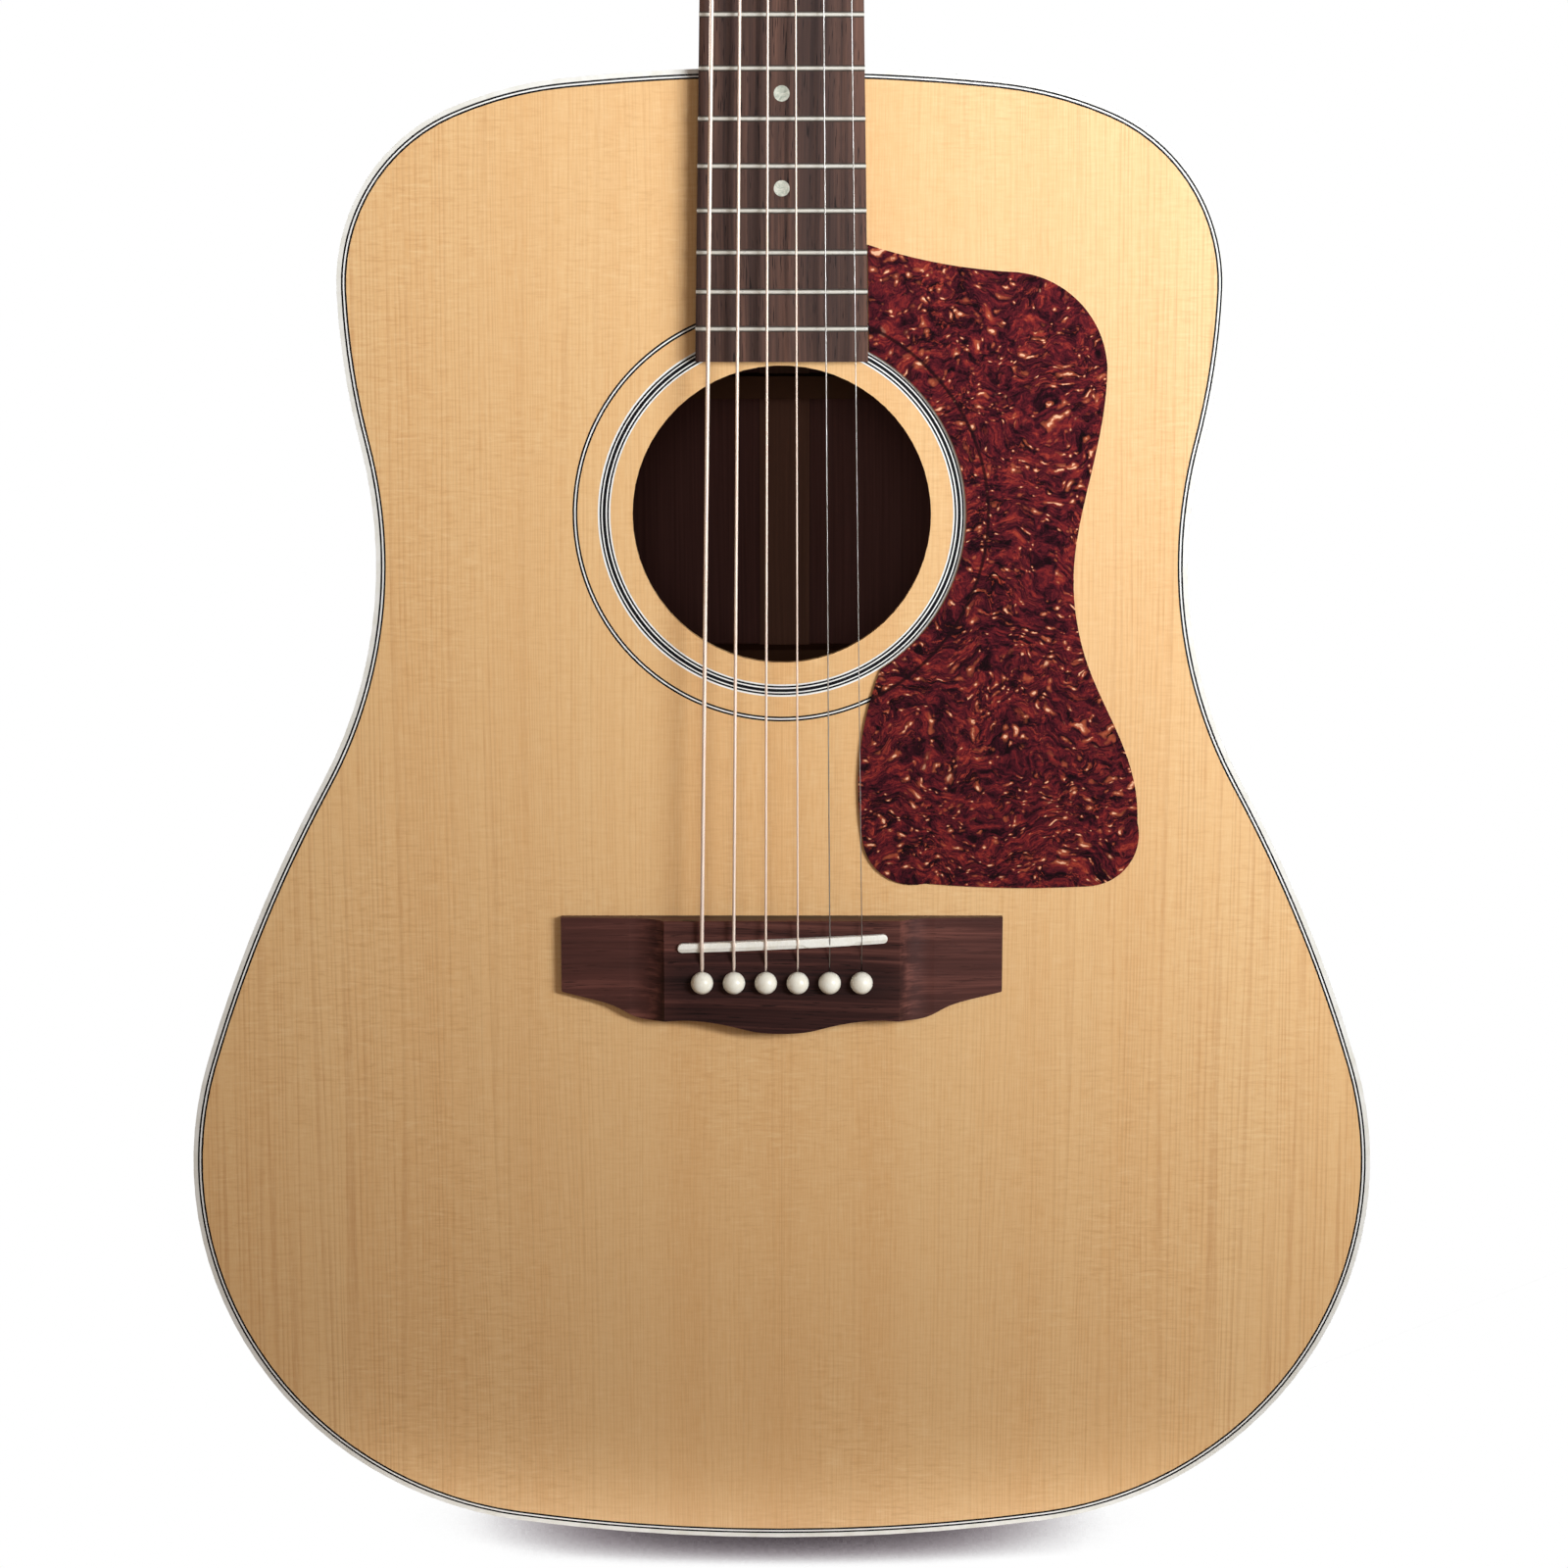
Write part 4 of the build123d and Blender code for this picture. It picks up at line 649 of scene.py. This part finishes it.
def keep_off(light, names):
    """Stop a light from reaching some nodes, so that the sound box stays evenly dark."""
    spared = bpy.data.collections.new(f"{light.name}_keeps_off")
    for name in names:
        spared.objects.link(nodes[name])
    light.light_linking.receiver_collection = spared
    for item in spared.collection_objects:
        item.light_linking.link_state = "EXCLUDE"


def build_camera():
    data = bpy.data.cameras.new("camera")
    data.sensor_width = SENSOR_WIDTH
    data.lens = CAMERA_LENS
    data.clip_end = CAMERA_REACH
    camera = bpy.data.objects.new("camera", data)
    bpy.context.scene.collection.objects.link(camera)
    camera.location = CAMERA_PLACE
    camera.rotation_euler = (math.radians(90 - CAMERA_TILT), 0, 0)
    bpy.context.scene.camera = camera


# ------------------------------------------------------------------ assembly
def make_woods():
    """Woods by name: dark, middle and light tone, streaks per metre, pores, roughness, lacquer."""
    mahogany = ((0.070, 0.021, 0.011), (0.125, 0.040, 0.020), (0.195, 0.070, 0.034))
    return {
        "top": spruce(),
        "fretboard": dark_wood(
            "fretboard_rosewood", "x", "z", (0.028, 0.018, 0.017), (0.070, 0.038, 0.030),
            (0.155, 0.076, 0.054), 330.0, 0.9, 0.55, shine=0.15),
        "bridge": dark_wood(
            "bridge_rosewood", "z", "x", (0.012, 0.006, 0.006), (0.042, 0.015, 0.013),
            (0.140, 0.050, 0.038), 330.0, 0.9, 0.45, shine=0.18, pale_ends=1.0),
        "overlay": dark_wood(
            "overlay_rosewood", "x", "z", (0.016, 0.008, 0.006), (0.050, 0.024, 0.018),
            (0.110, 0.052, 0.036), 260.0, 0.6, 0.3, 0.6),
        "back": dark_wood("mahogany_back", "x", "z", *mahogany, 150.0, 0.8, 0.3, 0.7, ribbon=0.35),
        "sides": dark_wood(
            "mahogany_sides", "y", "z", *mahogany, 150.0, 0.8, 0.3, 0.7, other="x", ribbon=0.35),
        "neck": dark_wood(
            "mahogany_neck", "x", "z", (0.075, 0.024, 0.012), (0.130, 0.044, 0.022),
            (0.200, 0.075, 0.037), 190.0, 0.7, 0.50, ribbon=0.2, shine=0.2),
        "brace": plain_wood("bare_spruce", "y", "x", (0.50, 0.30, 0.15), (0.68, 0.46, 0.26)),
        # The centre strip is coloured dark brown in place of its pale wood: painted shade for the dim
        # sound box.
        "strip": plain_wood("dark_strip_painted_shade", "x", "z", (0.185, 0.088, 0.060), (0.250, 0.120, 0.082)),
        "inner": plain_wood("bare_mahogany", "y", "x", (0.10, 0.044, 0.025), (0.16, 0.075, 0.042)),
        # The inside of the back is toned darker than bare mahogany: partly its own colour, partly painted
        # shade.
        "inner_back": plain_wood("bare_back_and_painted_shade", "x", "z", (0.125, 0.054, 0.047), (0.185, 0.082, 0.070)),
    }


def make_plastics():
    """Plastics, bone and shell by name: light and dark tone, roughness, mottling per metre."""
    return {
        "binding": moulded("ivory_binding", (0.88, 0.87, 0.82), (0.80, 0.78, 0.70), 0.22),
        "white": moulded("white_line", (0.93, 0.93, 0.90), (0.87, 0.86, 0.82), 0.3),
        "black": moulded("black_line", (0.003, 0.003, 0.005), (0.006, 0.006, 0.008), 0.5,
                         Specular_IOR_Level=0.15),
        "cover": moulded("black_plastic", (0.010, 0.010, 0.011), (0.022, 0.022, 0.024), 0.22),
        "pin": moulded("cream_bone", (0.98, 0.95, 0.83), (0.94, 0.89, 0.74), 0.28, 300.0),
        "saddle": moulded("saddle_bone", (0.98, 0.96, 0.88), (0.94, 0.91, 0.80), 0.26, 300.0),
        "button": moulded("tuner_button", (0.84, 0.77, 0.58), (0.76, 0.67, 0.46), 0.2, 120.0),
        "guard": tortoiseshell(),
        "dots": pearl(),
    }


def make_metals():
    """Metals by name: light and dull tone, roughness, handling marks per metre along x, y and z."""
    return {
        "nickel": metal("nickel_plate", (0.74, 0.72, 0.68), (0.60, 0.57, 0.52), 0.16),
        "frets": fret_wire(),
        "steel": metal("plain_steel", (0.52, 0.51, 0.49), (0.40, 0.38, 0.35), 0.28, (3000, 3000, 60)),
        "brass": metal("brass", (0.70, 0.50, 0.20), (0.52, 0.36, 0.14), 0.25),
    }


def choose_finishes(woods, plastics, metals):
    """The finish of every CAD node."""
    finishes = {
        "soundboard": woods["top"], "back_plate": woods["back"], "side_bass": woods["sides"],
        "side_treble": woods["sides"], "neck": woods["neck"], "fretboard": woods["fretboard"],
        "headstock_overlay": woods["overlay"], "bridge": woods["bridge"],
        "back_centre_strip": woods["strip"], "x_braces": woods["brace"], "top_braces": woods["brace"],
        "end_graft": plastics["cover"], "heel_cap": plastics["cover"],
        "truss_rod_cover": plastics["cover"], "top_binding": plastics["binding"],
        "back_binding": plastics["binding"], "saddle": plastics["saddle"], "nut": plastics["saddle"],
        "position_dots": plastics["dots"], "pickguard": plastics["guard"],
        "frets": metals["frets"], "truss_rod": metals["steel"], "truss_rod_nut": metals["brass"],
    }
    # The back braces take this dark bare mahogany in place of pale spruce: painted shade inside the sound
    # box.
    for name in ("neck_block", "tail_block", "top_linings", "back_linings", "back_braces",
                 "bridge_plate"):
        finishes[name] = woods["inner"]
    for name in ("small_screws", "tuner_plates", "tuner_bushings", "strap_button"):
        finishes[name] = metals["nickel"]
    for number in range(1, STRING_COUNT + 1):
        finishes[f"bridge_pin_{number}"] = plastics["pin"]
        finishes[f"string_post_{number}"] = metals["nickel"]
        finishes[f"tuner_key_{number}"] = plastics["button"]
        wire = metals["steel"]
        if number in WINDING_PITCH:
            wire = wound_wire(f"wound_wire_{number}", WINDING_PITCH[number])
        finishes[f"string_{number}"] = wire
    return finishes


def main():
    build_camera()
    build_studio()
    woods = make_woods()
    plastics = make_plastics()
    metals = make_metals()
    finish_nodes(choose_finishes(woods, plastics, metals))
    bare_inside("back_plate", woods["inner_back"], outer_back_face)
    bare_inside("side_bass", woods["inner"], lambda face: outer_side_face(face, -1))
    bare_inside("side_treble", woods["inner"], lambda face: outer_side_face(face, 1))
    for number in range(1, STRING_COUNT + 1):
        plate_shaft(f"tuner_key_{number}", metals["nickel"])
    build_rosette(plastics)
    build_purfling(plastics)


main()
